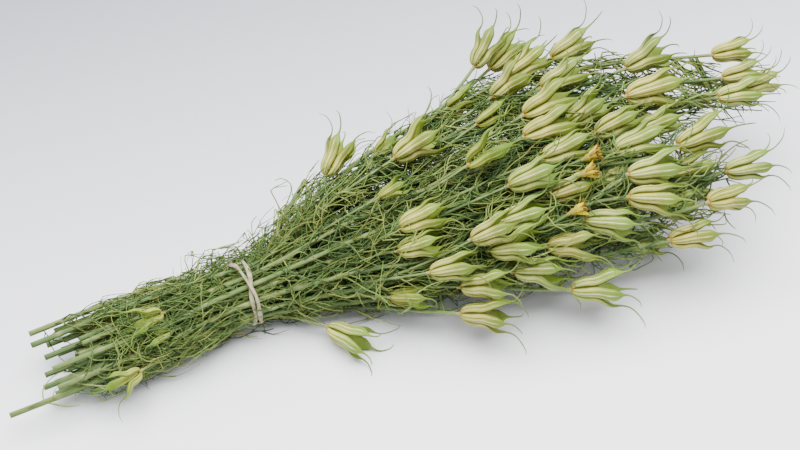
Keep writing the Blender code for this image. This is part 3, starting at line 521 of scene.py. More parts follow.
class Pod(Head):
    """A seed pod: follicles grown together below, spread into beaked horns above."""

    def __init__(self, strand):
        super().__init__(strand)
        draw = random.Random(SEED * 1000 + strand.number)
        self.lobes = POD_LOBES[strand.kind]
        self.turn = draw.uniform(0, 2 * math.pi)
        self.spread = draw.uniform(*HORN_SPREADS)
        self.beaks = [draw.uniform(*BEAK_SIZES) for _ in range(self.lobes)]
        self.bends = [draw.uniform(*HORN_BENDS) for _ in range(self.lobes)]
        self.flares = [1.0] * self.lobes

    def point(self, share, radius, angle):
        """A point by its share of the pod's length, its distance from the axis and its angle."""
        along = self.base + self.axis * share * POD_LENGTH * self.size
        return along + self.outwards(angle) * radius * self.size

    def lobe_angle(self, lobe):
        """The angle of a lobe's keel."""
        return 2 * math.pi * (lobe + 0.5) / self.lobes

    def horn(self, lobe, flare):
        """A horn's middle line: above the split, at the follicle's tip, along the beak and at its end."""
        angle = self.lobe_angle(lobe)
        out = self.outwards(angle)
        aside = np.cross(self.axis, out) * self.bends[lobe]
        spread = self.spread * (CLOSED_SPREAD + (1 - CLOSED_SPREAD) * flare)
        beak = BEAK_LENGTH * self.beaks[lobe] * self.size
        body = self.point(HORN_MIDDLE[0], HORN_MIDDLE[1] * spread + HORN_STAND_OFF, angle)
        tip = self.point(HORN_TIP[0], HORN_TIP[1] * spread, angle)
        line = [body, tip]
        for ahead, outwards, sideways in (BEAK_BEND, BEAK_END):
            line.append(line[-1] + (self.axis * ahead + out * outwards * flare + aside * sideways) * beak)
        for point, lowest in zip(line, HORN_HEIGHTS):
            point[2] = max(point[2], lowest)
        return line

    def settle(self, crowd):
        """Closes each horn as far as it takes to stay clear of what is near."""
        owner = self.strand.number
        for lobe in range(self.lobes):
            for flare in FLARES:
                line = self.horn(lobe, flare)
                body, beak = samples(line[:2], HORN_MARKS), samples(line[1:], BEAK_MARKS)
                free_body = crowd.clear(body, HORN_ROOM * self.size, HORN_GAP, (owner, owner + BEAK_OWNER))
                if free_body and crowd.clear(beak[2:], BEAK_ROOM, BEAK_GAP, (owner,)):
                    break
            self.flares[lobe] = flare
            crowd.add(body, HORN_ROOM * self.size, owner)
            crowd.add(beak, BEAK_ROOM, owner + BEAK_OWNER)


class Flower(Head):
    """A withered flower: a small cup with shrunken petals."""

    def __init__(self, strand):
        super().__init__(strand)
        draw = random.Random(SEED * 1000 + strand.number)
        self.spreads = [draw.uniform(*PETAL_SPREADS) for _ in range(PETALS)]

    def petal(self, petal, spread):
        """A petal's middle line: its root, its middle and its tip."""
        out = self.outwards(2 * math.pi * (petal + 0.5) / PETALS)
        length = PETAL_LENGTH * self.size
        line = [self.base + self.axis * FLOWER_CUP + out * FLOWER_RADIUS * PETAL_ROOT * self.size]
        for ahead, outwards in (PETAL_MIDDLE, PETAL_TIP):
            line.append(line[-1] + (self.axis * ahead + out * outwards * spread) * length)
        return line

    def settle(self, crowd):
        """Closes each petal as far as it takes to stay clear of what is near."""
        for petal, widest in enumerate(self.spreads):
            for flare in FLARES:
                line = samples(self.petal(petal, flare * widest), PETAL_MARKS)
                if crowd.clear(line, PETAL_RADIUS, HORN_GAP, (self.strand.number,)):
                    break
            self.spreads[petal] = flare * widest
            crowd.add(line, PETAL_RADIUS, self.strand.number)


HEADS = {POD: Pod, YOUNG_POD: Pod, FLOWER: Flower, BARE: Head}


def make_heads(strands):
    """Every strand's head, settled among the others, and the crowd of all that takes room."""
    crowd = Crowd()
    heads = [HEADS[strand.kind](strand) for strand in strands]
    for strand, head in zip(strands, heads):
        reaches = strand.at(np.arange(0, strand.length, STEM_MARK_STEP))
        crowd.add([strand.point(reach) for reach in reaches], strand.radius_at(reaches), strand.number)
        if isinstance(head, Pod):
            for share, radius in BODY_SPHERES:
                crowd.add([head.point(share, 0.0, 0.0)], radius * head.size, strand.number)
    for head in heads:
        head.settle(crowd)
    return heads, crowd


def draw_path(draw, root, outwards, forwards, length):
    """A curling thread's path: it leaves the stem, then bends along the bunch."""
    aside = np.cross(outwards, forwards)
    sway = draw.uniform(-0.5, 0.5)
    first = unit(outwards * draw.uniform(0.6, 1.0) + forwards * draw.uniform(0.3, 1.0) + aside * sway)
    onwards = forwards * draw.uniform(0.6, 1.0) + outwards * draw.uniform(-0.3, 0.7)
    second = unit(onwards + aside * draw.uniform(-1, 1))
    third = unit(second + outwards * draw.uniform(-0.9, 0.9) + aside * draw.uniform(-0.9, 0.9))
    path = [root]
    for heading, share in zip((first, second, third), THREAD_SHARES):
        path.append(path[-1] + heading * length * share)
    return path[1:]


def allowed(points):
    """Whether points stay above the table, within the bunch's outline and inside the tie."""
    width = np.interp(points[:, 0], STATIONS, HALF_WIDTH)
    height = np.interp(points[:, 0], STATIONS, HALF_HEIGHT)
    side = (points[:, 1] - np.interp(points[:, 0], STATIONS, MIDDLE)) / width
    rise = (points[:, 2] - height) / height
    near_tie = (points[:, 0] > TIE_RINGS[0]) & (points[:, 0] < TIE_RINGS[1])
    limit = np.where(near_tie, THREAD_TIE_LIMIT, THREAD_LIMIT)
    return points[:, 2].min() > THREAD_FLOOR and bool(np.all(np.hypot(side, rise) < limit))


def make_threads(strand, reach, draw, crowd):
    """The paths of the threads that grow at a strand's leaf joint, each clear of all the rest."""
    direction = strand.direction(reach)
    level, upright = frame_of(direction)
    forwards = direction * strand.forward
    threads = []
    for side in draw.sample(range(STEM_SIDES), THREADS_PER_LEAF):
        angle = 2 * math.pi * (side + 0.5) / STEM_SIDES
        outwards = math.cos(angle) * level + math.sin(angle) * upright
        root = strand.point(reach) + outwards * strand.radius_at(reach) * math.cos(math.pi / STEM_SIDES)
        for _ in range(THREAD_TRIES):
            path = draw_path(draw, root, outwards, forwards, draw.uniform(*THREAD_LENGTHS))
            line = samples([root, *path], THREAD_SAMPLES)
            free_root = crowd.clear(line[1:4], THREAD_RADIUS, THREAD_ROOT_GAP, (strand.number,))
            if allowed(line[1:]) and free_root and crowd.clear(line[4:], THREAD_RADIUS, THREAD_GAP):
                crowd.add(line[1:], THREAD_RADIUS, THREAD_OWNER)
                threads.append(path)
                break
    return threads


def parting(branch):
    """How far along a branch it has come clear of its stem."""
    for travelled in PARTING_TRIES:
        reach = branch.at(travelled)
        apart = np.linalg.norm(branch.point(reach) - branch.parent.point(reach))
        if apart > branch.parent.radius_at(reach) + branch.radius_at(reach) + PARTING_GAP:
            break
    return travelled


def make_stops(strands, crowd):
    """What happens along each strand: forks, leaf joints with their threads, and the tie's rings."""
    for strand in strands:
        draw = random.Random(SEED * 100 + strand.number)
        begin = 0.0 if strand.parent is None else parting(strand)
        stops = [(strand.along(branch.start), branch) for branch in strands if branch.parent is strand]
        stops += [(strand.along(reach), None) for reach in TIE_RINGS]
        travelled = begin + LEAF_STEP * draw.uniform(*FIRST_LEAF)
        while travelled < strand.length - LAST_LEAF:
            if all(abs(travelled - stop[0]) > STOP_GAP for stop in stops):
                stops.append((travelled, make_threads(strand, strand.at(travelled), draw, crowd)))
            travelled += LEAF_STEP * draw.uniform(*LEAF_STEPS)
        strand.stops = [stop for stop in stops if begin < stop[0] < strand.length]
        strand.stops.sort(key=lambda stop: stop[0])


def tie_path(angle):
    """A point of the tie's middle line: it goes round twice and crosses once over its first turn."""
    past = angle - TIE_CROSSING
    wrapped = (past + math.pi) % (2 * math.pi) - math.pi
    over = smooth((TIE_OVER - abs(wrapped)) / TIE_OVER_EASE) if past < math.pi else 0.0
    out = TIE_THICKNESS / 2 + over * (TIE_THICKNESS + TIE_OVER_GAP)
    side = (TIE_INNER_WIDTH + out) * math.cos(angle)
    height = TIE_HEIGHT + (TIE_INNER_HEIGHT + out) * math.sin(angle)
    drift = TIE_SPREAD * (math.tanh(TIE_STEEPNESS * math.sin(past / 2)) - 1)
    loose = TIE_LOOSE * math.exp(-(((angle - TIE_LOOSE_PLACE) / TIE_LOOSE_RUN) ** 2))
    return np.array((drift - loose, side, max(height, TIE_THICKNESS / 2)))


# How finely the pieces are made
STEM_STEP = 0.003
PATH_STEP = 0.001
PATH_ROUNDING = 4
STEM_COLUMNS = 10
STEM_RIBS = 8
CUT_RIM = 0.00001
CUT_SHARE = 0.88
JOINT_STEP = 0.031
JOINT_RUN = 0.0016
JOINT_SWELLING = 0.16
STEM_TOP_RUN = 0.02
POINT_RADIUS = 0.0002
STEM_SLIMNESS = 0.96
HEAD_OVERLAP = 0.0008
MAP_PER_METRE = 100
THREAD_COLUMNS = 3
BASE_THREAD_COLUMNS = 5
LEAF_ROWS = 14
LEAFLET_ROWS = 6
FOLLICLE_ROWS = 30
FOLLICLE_COLUMNS = 12

# Follicles: places of the middle line as shares of the pod's length and distances from its axis;
# the horn's own points follow on these
FOLLICLE_LINE = ((0.0, 0.0013), (0.12, 0.0032), (0.30, 0.0041), (0.50, 0.0042))

# Follicles' half widths and their thickness outwards and inwards, at places counted in points of that line
FOLLICLE_SHAPE = (
    (0.0, 0.0011, 0.0010, 0.0008),
    (0.4, 0.0018, 0.0016, 0.0012),
    (1.0, 0.0024, 0.0021, 0.0018),
    (2.0, 0.0031, 0.0027, 0.0024),
    (3.0, 0.0035, 0.0028, 0.0024),
    (4.0, 0.0042, 0.0020, 0.0012),
    (4.5, 0.0042, 0.0013, 0.0006),
    (4.9, 0.0028, 0.0009, 0.0005),
    (5.2, 0.0012, 0.0006, 0.0004),
    (5.6, 0.00058, 0.00046, 0.00036),
    (7.0, 0.00034, 0.00030, 0.00028),
    (8.0, 0.00012, 0.00012, 0.00012),
)

# Follicles flare outwards near the tip, rise at the keel and curl at the beak's end
FLARE_PLACE, FLARE_RUN, FLARE = 4.5, 0.9, 0.0028
PLUMPNESS = 0.86
KEEL_RISE = 0.16
CURL = 0.004
POD_FLOOR = 0.00005

# The collar below a pod: places along its axis and radii
CALYX = ((-0.0030, 0.0009), (-0.0012, 0.0011), (-0.0003, 0.0017), (0.0004, 0.0018), (0.0012, 0.0010))

# Flowers: radii along their petals and stamens, and the cup's places and radii
PETAL_RADII = (0.0005, 0.0011, 0.0014, 0.0013, 0.0010, 0.0006, 0.0001)
PETAL_COLUMNS = 8
STAMENS = 34
STAMEN_RADII = (0.00035, 0.0003, 0.0003, 0.0006, 0.0002)
STAMEN_COLUMNS = 4
STAMEN_SPREAD = 0.0018
STAMEN_LEANS = (0.1, 0.9)
STAMEN_LENGTHS = (0.004, 0.0085)
CUP = (
    (-0.002, 0.0009),
    (0.0, 0.0014),
    (0.0015, 0.0024),
    (FLOWER_CUP, FLOWER_RADIUS),
    (FLOWER_CUP + 0.0006, 0.0010),
)

# The tie: its stations, corners and cords, how deeply it folds and how far it wanders sideways
BAND_STATIONS = 260
BAND_CORNERS = 16
BAND_CORDS = 26
BAND_FOLD = 0.0004
BAND_SHIFT = 0.0005

# The tie's width goes in waves: a mean share, then strength, waves a radian and start of each
BAND_PINCH = 0.74
BAND_WAVES = ((0.16, 2.5, 0.0), (0.10, 6.5, 1.0))
BAND_SWAY = (4.5, 0.5)

# The tie's rounded edges, where it lies flat on the table, and how far its course is looked ahead
BAND_ROUNDNESS = (0.45, 0.6)
BAND_FLAT, BAND_FLAT_RUN = 0.0012, 0.0006
BAND_FLOOR = 0.00002
BAND_LOOK_AHEAD = 0.02

# Fine leaves: how many there are for each metre of stem, and their sizes
LEAVES_PER_METRE = 425
LEAFLETS_PER_LEAF = 2
LEAF_LENGTHS = (0.020, 0.052)
LEAFLET_SHARES = (0.22, 0.48)
LEAFLET_LIGHTNESS = 1.08
LEAF_RADIUS = 0.00042
LEAF_TAPER = (1.05, 0.45)
LEAFLET_TAPER = (0.85, 0.35)

# How thick leaves are, and how many there are, at reaches along the bunch
THICKENING = ((0.0, 1.0), (0.05, 1.25), (0.12, 1.2), (0.19, 1.4), (0.26, 1.7))
THICKEST = 1.25
THINNING = ((-0.12, 0.35), (-0.09, 1.0), (0.05, 1.25), (0.17, 1.1), (0.22, 1.25), (0.30, 1.25), (0.34, 0.8))

# How leaves turn, wave and follow the bunch
LEAF_TURN = (0.10, 0.52)
LEAF_WAVES = (1.1, 2.3)
LEAF_CURL = 0.25
LEAF_WAVER = 0.09
LEAF_FOLLOW = 0.16

# How far out leaves reach, as shares of the outline: usual ones, a fringe, and over or inside the tie
LEAF_LIMITS = (0.86, 1.12)
FRINGE_LIMITS = (1.05, 1.32)
FRINGE_SHARE = 0.22
FRINGE_END = 0.15
OVER_TIE_SHARE = 0.2
OVER_TIE_LIMITS, INSIDE_TIE = (1.1, 1.55), 0.86
LEAF_FLOOR = 0.0006
POD_CLEARANCE = 0.0008
TIE_PLACE, TIE_PULL_RUN = -0.003, 0.016

# The tuft of leaves that stands out beside the tie, on its far side
TUFT_PLACE, TUFT_RUN, TUFT_SHARE = 0.004, 0.045, 0.5
TUFT_LIMITS = (1.15, 1.85)
TUFT_HEADING = np.array((0.5, 1.0, 0.45))

# Painted shade: leaves are darker inside the bunch and low down, where shade falls
PAINTED_SHADE_INSIDE = 0.46
PAINTED_SHADE_FROM, PAINTED_SHADE_TO = 0.45, 0.95
PAINTED_SHADE_LOW, PAINTED_SHADE_RISE = 0.55, 0.5

# Colours, as they look in daylight, with how much light and colour they keep under the lights
EXPOSURE, VIVID = 0.65, 1.25
STEM_COLOURS = ("#677b50", "#76875c", "#708050", "#5f7448", "#7f8a5a")
STEM_JOINT = "#adb582"
STEM_PITH = "#7f7d52"
STEM_TOP = "#9dab73"
CUT_COLOUR = "#c3c795"
LEAF_COLOURS = (
    "#3f5532", "#4c623a", "#5c7343", "#6c824c", "#7f8f53", "#939e5f", "#637845", "#86884f", "#a4ad6d",
)
CALYX_COLOUR = "#b8955a"
CUP_COLOUR = "#9a9350"
YOUNG_TINT = (0.84, 0.94, 0.62)
GREENER = np.array((0.97, 1.05, 1.0))
# Painted light on the table: its far side is painted dark and its near side bright, in place of the fall of
# light
FLOOR_FAR_PAINTED_SHADE = (0.20, 0.215, 0.25, 1.0)
FLOOR_NEAR_PAINTED_LIGHT = (0.98, 0.97, 1.0, 1.0)
FLOOR_CLOUD = (0.80, 0.79, 0.82, 1.0)
PETAL_COLOURS = ("#e2d44c", "#ece07c", "#c4b03c", "#d8c854", "#8c7c38")
STAMEN_COLOURS = ("#7d5a24", "#94702c", "#b89438", "#5f4a22")

# Camera, floor and lights
CAMERA_AZIMUTH, CAMERA_ELEVATION = math.radians(-20.0), math.radians(50.0)
CAMERA_AIM = (0.0944, 0.0174, 0.0174)
CAMERA_DISTANCE = 0.957
CAMERA_LENS, CAMERA_SENSOR = 74.8, 36.0
FLOOR_HALF = 3.0
LIGHT_AIM = (0.1, 0.0, 0.0)
SKY_COLOUR = (0.93, 0.95, 1.0, 1.0)
SKY_STRENGTH = 0.74


def linear(colour):
    """A colour written in hexadecimal, as the linear values that shaders take."""
    parts = np.array([int(colour[start:start + 2], 16) for start in (1, 3, 5)]) / 255
    light = EXPOSURE * np.where(parts <= 0.04045, parts / 12.92, ((parts + 0.055) / 1.055) ** 2.4)
    return np.maximum(light.mean() + VIVID * (light - light.mean()), 0.002)


def curve_through(corners, count):
    """Points on a smooth curve through the corners."""
    corners = np.array(corners)
    ends = np.concatenate([[2 * corners[0] - corners[1]], corners, [2 * corners[-1] - corners[-2]]])
    spans = len(corners) - 1
    at = np.linspace(0, spans, count)
    span = np.minimum(at.astype(int), spans - 1)
    share = (at - span)[:, None]
    a, b, c, d = (ends[span + step] for step in range(4))
    return b + 0.5 * share * (c - a + share * (2 * a - 5 * b + 4 * c - d + share * (3 * (b - c) + d - a)))


def lengths_one(vectors):
    """Vectors at length one, along the last axis."""
    return vectors / np.maximum(np.linalg.norm(vectors, axis=-1, keepdims=True), 1e-12)


def tube_rings(centres, radii, columns):
    """Rings of points round middle lines: centres has a row of points for each tube."""
    ahead = lengths_one(np.gradient(centres, axis=1))
    level = lengths_one(np.cross(UP, ahead) + 1e-6)
    upright = np.cross(ahead, level)
    angles = 2 * math.pi * np.arange(columns)[:, None] / columns
    circle = np.cos(angles) * level[:, :, None] + np.sin(angles) * upright[:, :, None]
    return centres[:, :, None] + radii[..., None, None] * circle


class Cover:
    """The surface of one piece, made of tubes that each have their own colours and material."""

    def __init__(self):
        self.points, self.quads, self.maps, self.tints, self.kinds = [], [], [], [], []
        self.count = 0

    def add(self, rings, tints, kind, lengths=None):
        """Adds tubes: a tint for each ring, and how far the map runs along each tube."""
        tubes, rows, columns, _ = rings.shape
        index = self.count + np.arange(tubes * rows * columns).reshape(tubes, rows, columns)
        after = np.roll(index, -1, axis=2)
        quads = np.stack([index[:, :-1], after[:, :-1], after[:, 1:], index[:, 1:]], axis=-1)
        self.quads.append(quads.reshape(-1, 4))
        around = np.arange(columns)[:, None] / columns + np.array([0, 1, 1, 0]) / columns
        along = (np.arange(rows - 1)[:, None] + np.array([0, 0, 1, 1])) / (rows - 1)
        lengths = np.ones(tubes) if lengths is None else np.asarray(lengths)
        shape = (tubes, rows - 1, columns, 4)
        across = np.broadcast_to(around[None, None], shape)
        lengthwise = np.broadcast_to(along[None, :, None] * lengths[:, None, None, None], shape)
        self.maps.append(np.stack([across, lengthwise], axis=-1).reshape(-1, 2))
        self.points.append(rings.reshape(-1, 3))
        tints = np.broadcast_to(np.asarray(tints)[..., None, :], (tubes, rows, columns, 3))
        self.tints.append(tints.reshape(-1, 3))
        self.kinds.append(np.full(len(self.quads[-1]), kind))
        self.count += tubes * rows * columns

    def make(self, name, looks):
        """Makes the Blender object."""
        points, quads = np.concatenate(self.points), np.concatenate(self.quads)
        data = bpy.data.meshes.new(name)
        data.vertices.add(len(points))
        data.vertices.foreach_set("co", points.astype(np.float32).ravel())
        data.loops.add(quads.size)
        data.loops.foreach_set("vertex_index", quads.astype(np.int32).ravel())
        data.polygons.add(len(quads))
        data.polygons.foreach_set("loop_start", np.arange(0, quads.size, 4, dtype=np.int32))
        data.polygons.foreach_set("material_index", np.concatenate(self.kinds).astype(np.int32))
        data.polygons.foreach_set("use_smooth", np.ones(len(quads), bool))
        layer = data.uv_layers.new(name="surface_map")
        layer.data.foreach_set("uv", np.concatenate(self.maps).astype(np.float32).ravel())
        tint = data.color_attributes.new("tint", "FLOAT_COLOR", "POINT")
        colours = np.concatenate([np.concatenate(self.tints), np.ones((len(points), 1))], axis=1)
        tint.data.foreach_set("color", colours.astype(np.float32).ravel())
        for look in looks:
            data.materials.append(look)
        data.update(calc_edges=True)
        data.validate()
        made = bpy.data.objects.new(name, data)
        bpy.context.scene.collection.objects.link(made)
        return made


class Look:
    """A material that is being built of nodes."""

    def __init__(self, name, roughness):
        self.material = bpy.data.materials.new(name)
        self.material.use_nodes = True
        self.tree = self.material.node_tree
        self.shader = self.tree.nodes["Principled BSDF"]
        self.shader.inputs["Roughness"].default_value = roughness
        self.shader.inputs["Specular IOR Level"].default_value = 0.3

    def node(self, kind, output, inputs=(), **settings):
        """Adds a node and gives one of its outputs; inputs are numbers, colours or other outputs."""
        made = self.tree.nodes.new(kind)
        for name, value in settings.items():
            setattr(made, name, value)
        for place, value in inputs:
            if isinstance(value, bpy.types.NodeSocket):
                self.tree.links.new(value, made.inputs[place])
            else:
                made.inputs[place].default_value = value
        return made.outputs[output]

    def math(self, operation, first, second=0.0):
        """Two values put together by an operation."""
        return self.node("ShaderNodeMath", 0, ((0, first), (1, second)), operation=operation)

    def step(self, value, low, high):
        """A smooth step from 0 at low to 1 at high."""
        places = ((0, value), (1, low), (2, high), (3, 0.0), (4, 1.0))
        return self.node("ShaderNodeMapRange", 0, places, interpolation_type="SMOOTHSTEP")

    def waves(self, value, count):
        """A number of sine waves while a value runs from 0 to 1."""
        return self.math("SINE", self.math("MULTIPLY", value, 2 * math.pi * count))

    def far(self, value, place):
        """How far a value is from a place."""
        return self.math("ABSOLUTE", self.math("SUBTRACT", value, place))

    def upto(self, value, low, high):
        """A smooth step from 1 at low to 0 at high."""
        return self.math("SUBTRACT", 1.0, self.step(value, low, high))

    def scaled(self, value, strength):
        """A value times a strength."""
        return self.math("MULTIPLY", value, strength)

    def mix(self, share, first, second, blend="MIX"):
        """A mix of two colours."""
        places = ((0, share), (6, first), (7, second))
        return self.node("ShaderNodeMix", 2, places, data_type="RGBA", blend_type=blend)

    def noise(self, vector, scale, detail=3.0):
        """Cloudy values from 0 to 1."""
        places = (("Vector", vector), ("Scale", scale), ("Detail", detail))
        return self.node("ShaderNodeTexNoise", "Fac", places)

    def position(self):
        """The place on the object."""
        return self.node("ShaderNodeTexCoord", "Object")

    def surface_map(self):
        """The places round and along a tube, and the two as one vector."""
        both = self.node("ShaderNodeUVMap", 0, uv_map="surface_map")
        parts = self.tree.nodes.new("ShaderNodeSeparateXYZ")
        self.tree.links.new(both, parts.inputs[0])
        return parts.outputs[0], parts.outputs[1], both

    def tint(self):
        """The colour that the mesh carries."""
        return self.node("ShaderNodeVertexColor", 0, layer_name="tint")

    def stretched(self, vector, across, lengthwise):
        """The map's vector, scaled by different amounts round and along."""
        places = (("Vector", vector), ("Scale", (across, lengthwise, 1.0)))
        return self.node("ShaderNodeMapping", 0, places)

    def finish(self, colour, height=None, strength=0.3, distance=0.0003):
        """Connects the colour, and a height for bumps."""
        self.tree.links.new(colour, self.shader.inputs["Base Color"])
        if height is not None:
            places = (("Strength", strength), ("Distance", distance), ("Height", height))
            self.tree.links.new(self.node("ShaderNodeBump", 0, places), self.shader.inputs["Normal"])
        return self.material


def colour(hexadecimal):
    """A colour for a shader's socket."""
    return (*np.minimum(linear(hexadecimal), 1.0), 1.0)


def stem_look():
    """Dry ribbed stems, with streaks along them."""
    look = Look("dry_stem", 0.72)
    around, _, both = look.surface_map()
    streaks = look.noise(look.stretched(both, 9.0, 0.5), 3.0, 4.0)
    ribs = look.waves(around, STEM_RIBS)
    ridge = look.step(ribs, -0.4, 0.9)
    blotches = look.noise(look.position(), 160.0, 4.0)
    base = look.mix(look.scaled(ridge, 0.28), look.tint(), colour("#98a574"))
    base = look.mix(look.scaled(look.step(streaks, 0.45, 0.75), 0.7), base, colour("#556f42"))
    base = look.mix(look.scaled(look.step(blotches, 0.55, 0.8), 0.4), base, colour("#9d935a"))
    return look.finish(base, look.math("ADD", look.scaled(ridge, 0.7), streaks), 0.5, 0.0003)


def leaf_look():
    """Fine dry leaves."""
    look = Look("dry_leaf", 0.78)
    clouds = look.noise(look.position(), 260.0, 3.0)
    _, along, _ = look.surface_map()
    base = look.mix(look.scaled(look.step(clouds, 0.45, 0.8), 0.18), look.tint(), colour("#8f9a5a"))
    base = look.mix(look.scaled(look.step(along, 0.8, 1.0), 0.25), base, colour("#7d7344"))
    return look.finish(base, clouds, 0.3, 0.0002)


def pod_look():
    """Papery follicles: pale nerves with brown lines beside them, a rusty base, greener tips and painted
    shade in the grooves where follicles meet.
    """
    look = Look("seed_pod", 0.55)
    around, along, both = look.surface_map()
    aside = look.far(around, 0.5)
    below_beak = look.upto(along, 0.52, 0.64)
    wobble = look.math("SUBTRACT", look.noise(look.stretched(both, 4.0, 5.0), 3.0, 2.0), 0.5)
    wavering = look.math("ADD", aside, look.scaled(wobble, 0.02))
    keel = look.upto(aside, 0.006, 0.021)
    rib = look.upto(look.far(wavering, 0.13), 0.003, 0.016)
    nerve = look.math("MULTIPLY", look.math("MAXIMUM", keel, look.scaled(rib, 0.6)), below_beak)
    veins = look.noise(look.stretched(both, 34.0, 8.0), 2.0, 5.0)
    clouds = look.noise(look.position(), 120.0, 4.0)
    base = look.mix(look.step(clouds, 0.32, 0.7), colour("#d2d284"), colour("#aab562"))
    base = look.mix(look.scaled(look.step(veins, 0.46, 0.70), 0.45), base, colour("#929a4c"))
    base = look.mix(look.step(along, 0.30, 0.58), base, colour("#7f9444"))
    # Painted shade: the follicles' flanks, where they meet in grooves, are darkened to dark olive
    painted_groove_shade = look.math("MULTIPLY", look.step(aside, 0.185, 0.235), look.upto(aside, 0.26, 0.32))
    base = look.mix(look.scaled(painted_groove_shade, 0.85), base, colour("#5e5a26"))
    beside = look.upto(look.far(wavering, 0.062), 0.005, 0.020)
    line = look.math("MULTIPLY", beside, look.upto(along, 0.36, 0.56))
    base = look.mix(look.scaled(line, 0.8), base, colour("#5f4e1e"))
    fading = look.math("ADD", 0.45, look.scaled(look.step(veins, 0.35, 0.6), 0.5))
    base = look.mix(look.math("MULTIPLY", nerve, fading), base, colour("#fbf4bf"))
    base = look.mix(look.upto(along, 0.01, 0.07), base, colour("#bd9350"))
    base = look.mix(look.step(along, 0.64, 0.90), base, colour("#6f7f4c"))
    freckles = look.noise(look.position(), 900.0, 2.0)
    base = look.mix(look.scaled(look.step(freckles, 0.70, 0.8), 0.3), base, colour("#8a6a35"))
    base = look.mix(1.0, base, look.tint(), "MULTIPLY")
    height = look.math("ADD", look.scaled(nerve, 1.2), veins)
    return look.finish(base, height, 0.5, 0.0003)


def petal_look():
    """Shrunken yellow petals."""
    look = Look("dry_petal", 0.7)
    clouds = look.noise(look.position(), 420.0, 4.0)
    base = look.mix(look.step(clouds, 0.4, 0.75), look.tint(), colour("#a28c38"))
    return look.finish(base, clouds, 0.6, 0.0004)


def band_look():
    """A flat elastic, with fine cords along it."""
    look = Look("tie_elastic", 0.6)
    around, _, both = look.surface_map()
    cords = look.waves(around, BAND_CORDS)
    stretch = look.noise(look.stretched(both, 2.0, 60.0), 3.0, 3.0)
    soil = look.noise(look.position(), 190.0, 5.0)
    base = look.mix(look.step(cords, -0.6, 0.9), colour("#bdb59a"), colour("#ddd6c2"))
    base = look.mix(look.scaled(look.step(soil, 0.42, 0.62), 0.7), base, colour("#9a8d62"))
    return look.finish(base, look.math("ADD", cords, stretch), 0.5, 0.00015)


def floor_look():
    """A plain pale table top with painted light: dark on its far side and bright on its near side."""
    look = Look("pale_table", 0.85)
    clouds = look.noise(look.position(), 3.0, 2.0)
    parts = look.tree.nodes.new("ShaderNodeSeparateXYZ")
    look.tree.links.new(look.position(), parts.inputs[0])
    # Painted light: the table's colour runs from dark far away to bright near by
    base = look.mix(look.upto(parts.outputs[1], -0.20, 0.40), FLOOR_FAR_PAINTED_SHADE, FLOOR_NEAR_PAINTED_LIGHT)
    return look.finish(look.mix(look.scaled(clouds, 0.06), base, FLOOR_CLOUD))


STEM, LEAF, PODS, PETAL = range(4)


def path_between(strand, start, end, step):
    """Points along a strand's path, smoothed."""
    count = max(int((end - start) / step), 3) + 1
    reaches = strand.at(np.linspace(start, end, count))
    fine = np.arange(STATIONS[0], STATIONS[-1], PATH_STEP)
    tables = []
    for axis in range(2):
        values = strand.path[:, axis]
        for _ in range(2):
            middles = 0.25 * values[:-2] + 0.5 * values[1:-1] + 0.25 * values[2:]
            values = np.concatenate([[values[0]], middles, [values[-1]]])
        tables.append(np.interp(reaches, fine, smoothed(np.interp(fine, STATIONS, values))))
    return np.stack([reaches, *tables], axis=-1)


def smoothed(values):
    """Values with their corners rounded off."""
    window = np.hanning(2 * PATH_ROUNDING + 1)
    padded = np.pad(values, PATH_ROUNDING, mode="edge")
    return np.convolve(padded, window / window.sum(), mode="valid")


def cover_stem(cover, strand, draw):
    """Adds a strand's stem, with its cut end or the start inside its parent."""
    centres = path_between(strand, 0.0, strand.length + HEAD_OVERLAP, STEM_STEP)
    travelled = np.linspace(0.0, strand.length, len(centres))
    radii = strand.radius_at(centres[:, 0]) * STEM_SLIMNESS
    tint = np.tile(GREENER * linear(draw.choice(STEM_COLOURS)) * draw.uniform(0.9, 1.1), (len(centres), 1))
    for joint in np.arange(draw.uniform(0.01, JOINT_STEP), strand.length, JOINT_STEP):
        near = np.exp(-(((travelled - joint) / JOINT_RUN) ** 2))
        radii = radii * (1 + JOINT_SWELLING * near)
        tint = tint + (linear(STEM_JOINT) - tint) * 0.8 * near[:, None]
    near_head = smooth((travelled - strand.length + STEM_TOP_RUN) / STEM_TOP_RUN)[:, None]
    tint = tint + (linear(STEM_TOP) - tint) * 0.7 * near_head * (strand.kind in POD_LOBES)
    if strand.parent is None:
        ahead = unit(centres[1] - centres[0])
        rim = [centres[0] - 2 * CUT_RIM * ahead, centres[0] - CUT_RIM * ahead]
        centres = np.concatenate([rim, centres])
        radii = np.concatenate([[POINT_RADIUS, CUT_SHARE * radii[0]], radii])
        tint = np.concatenate([[linear(STEM_PITH), linear(CUT_COLOUR)], tint])
    if strand.kind == BARE:
        ahead = unit(centres[-1] - centres[-2])
        centres = np.concatenate([centres, [centres[-1] + CUT_RIM * ahead]])
        radii = np.concatenate([radii, [POINT_RADIUS]])
        tint = np.concatenate([tint, [linear(CUT_COLOUR)]])
    rings = tube_rings(centres[None], radii[None], STEM_COLUMNS)
    cover.add(rings, tint[None], STEM, [strand.length * MAP_PER_METRE])


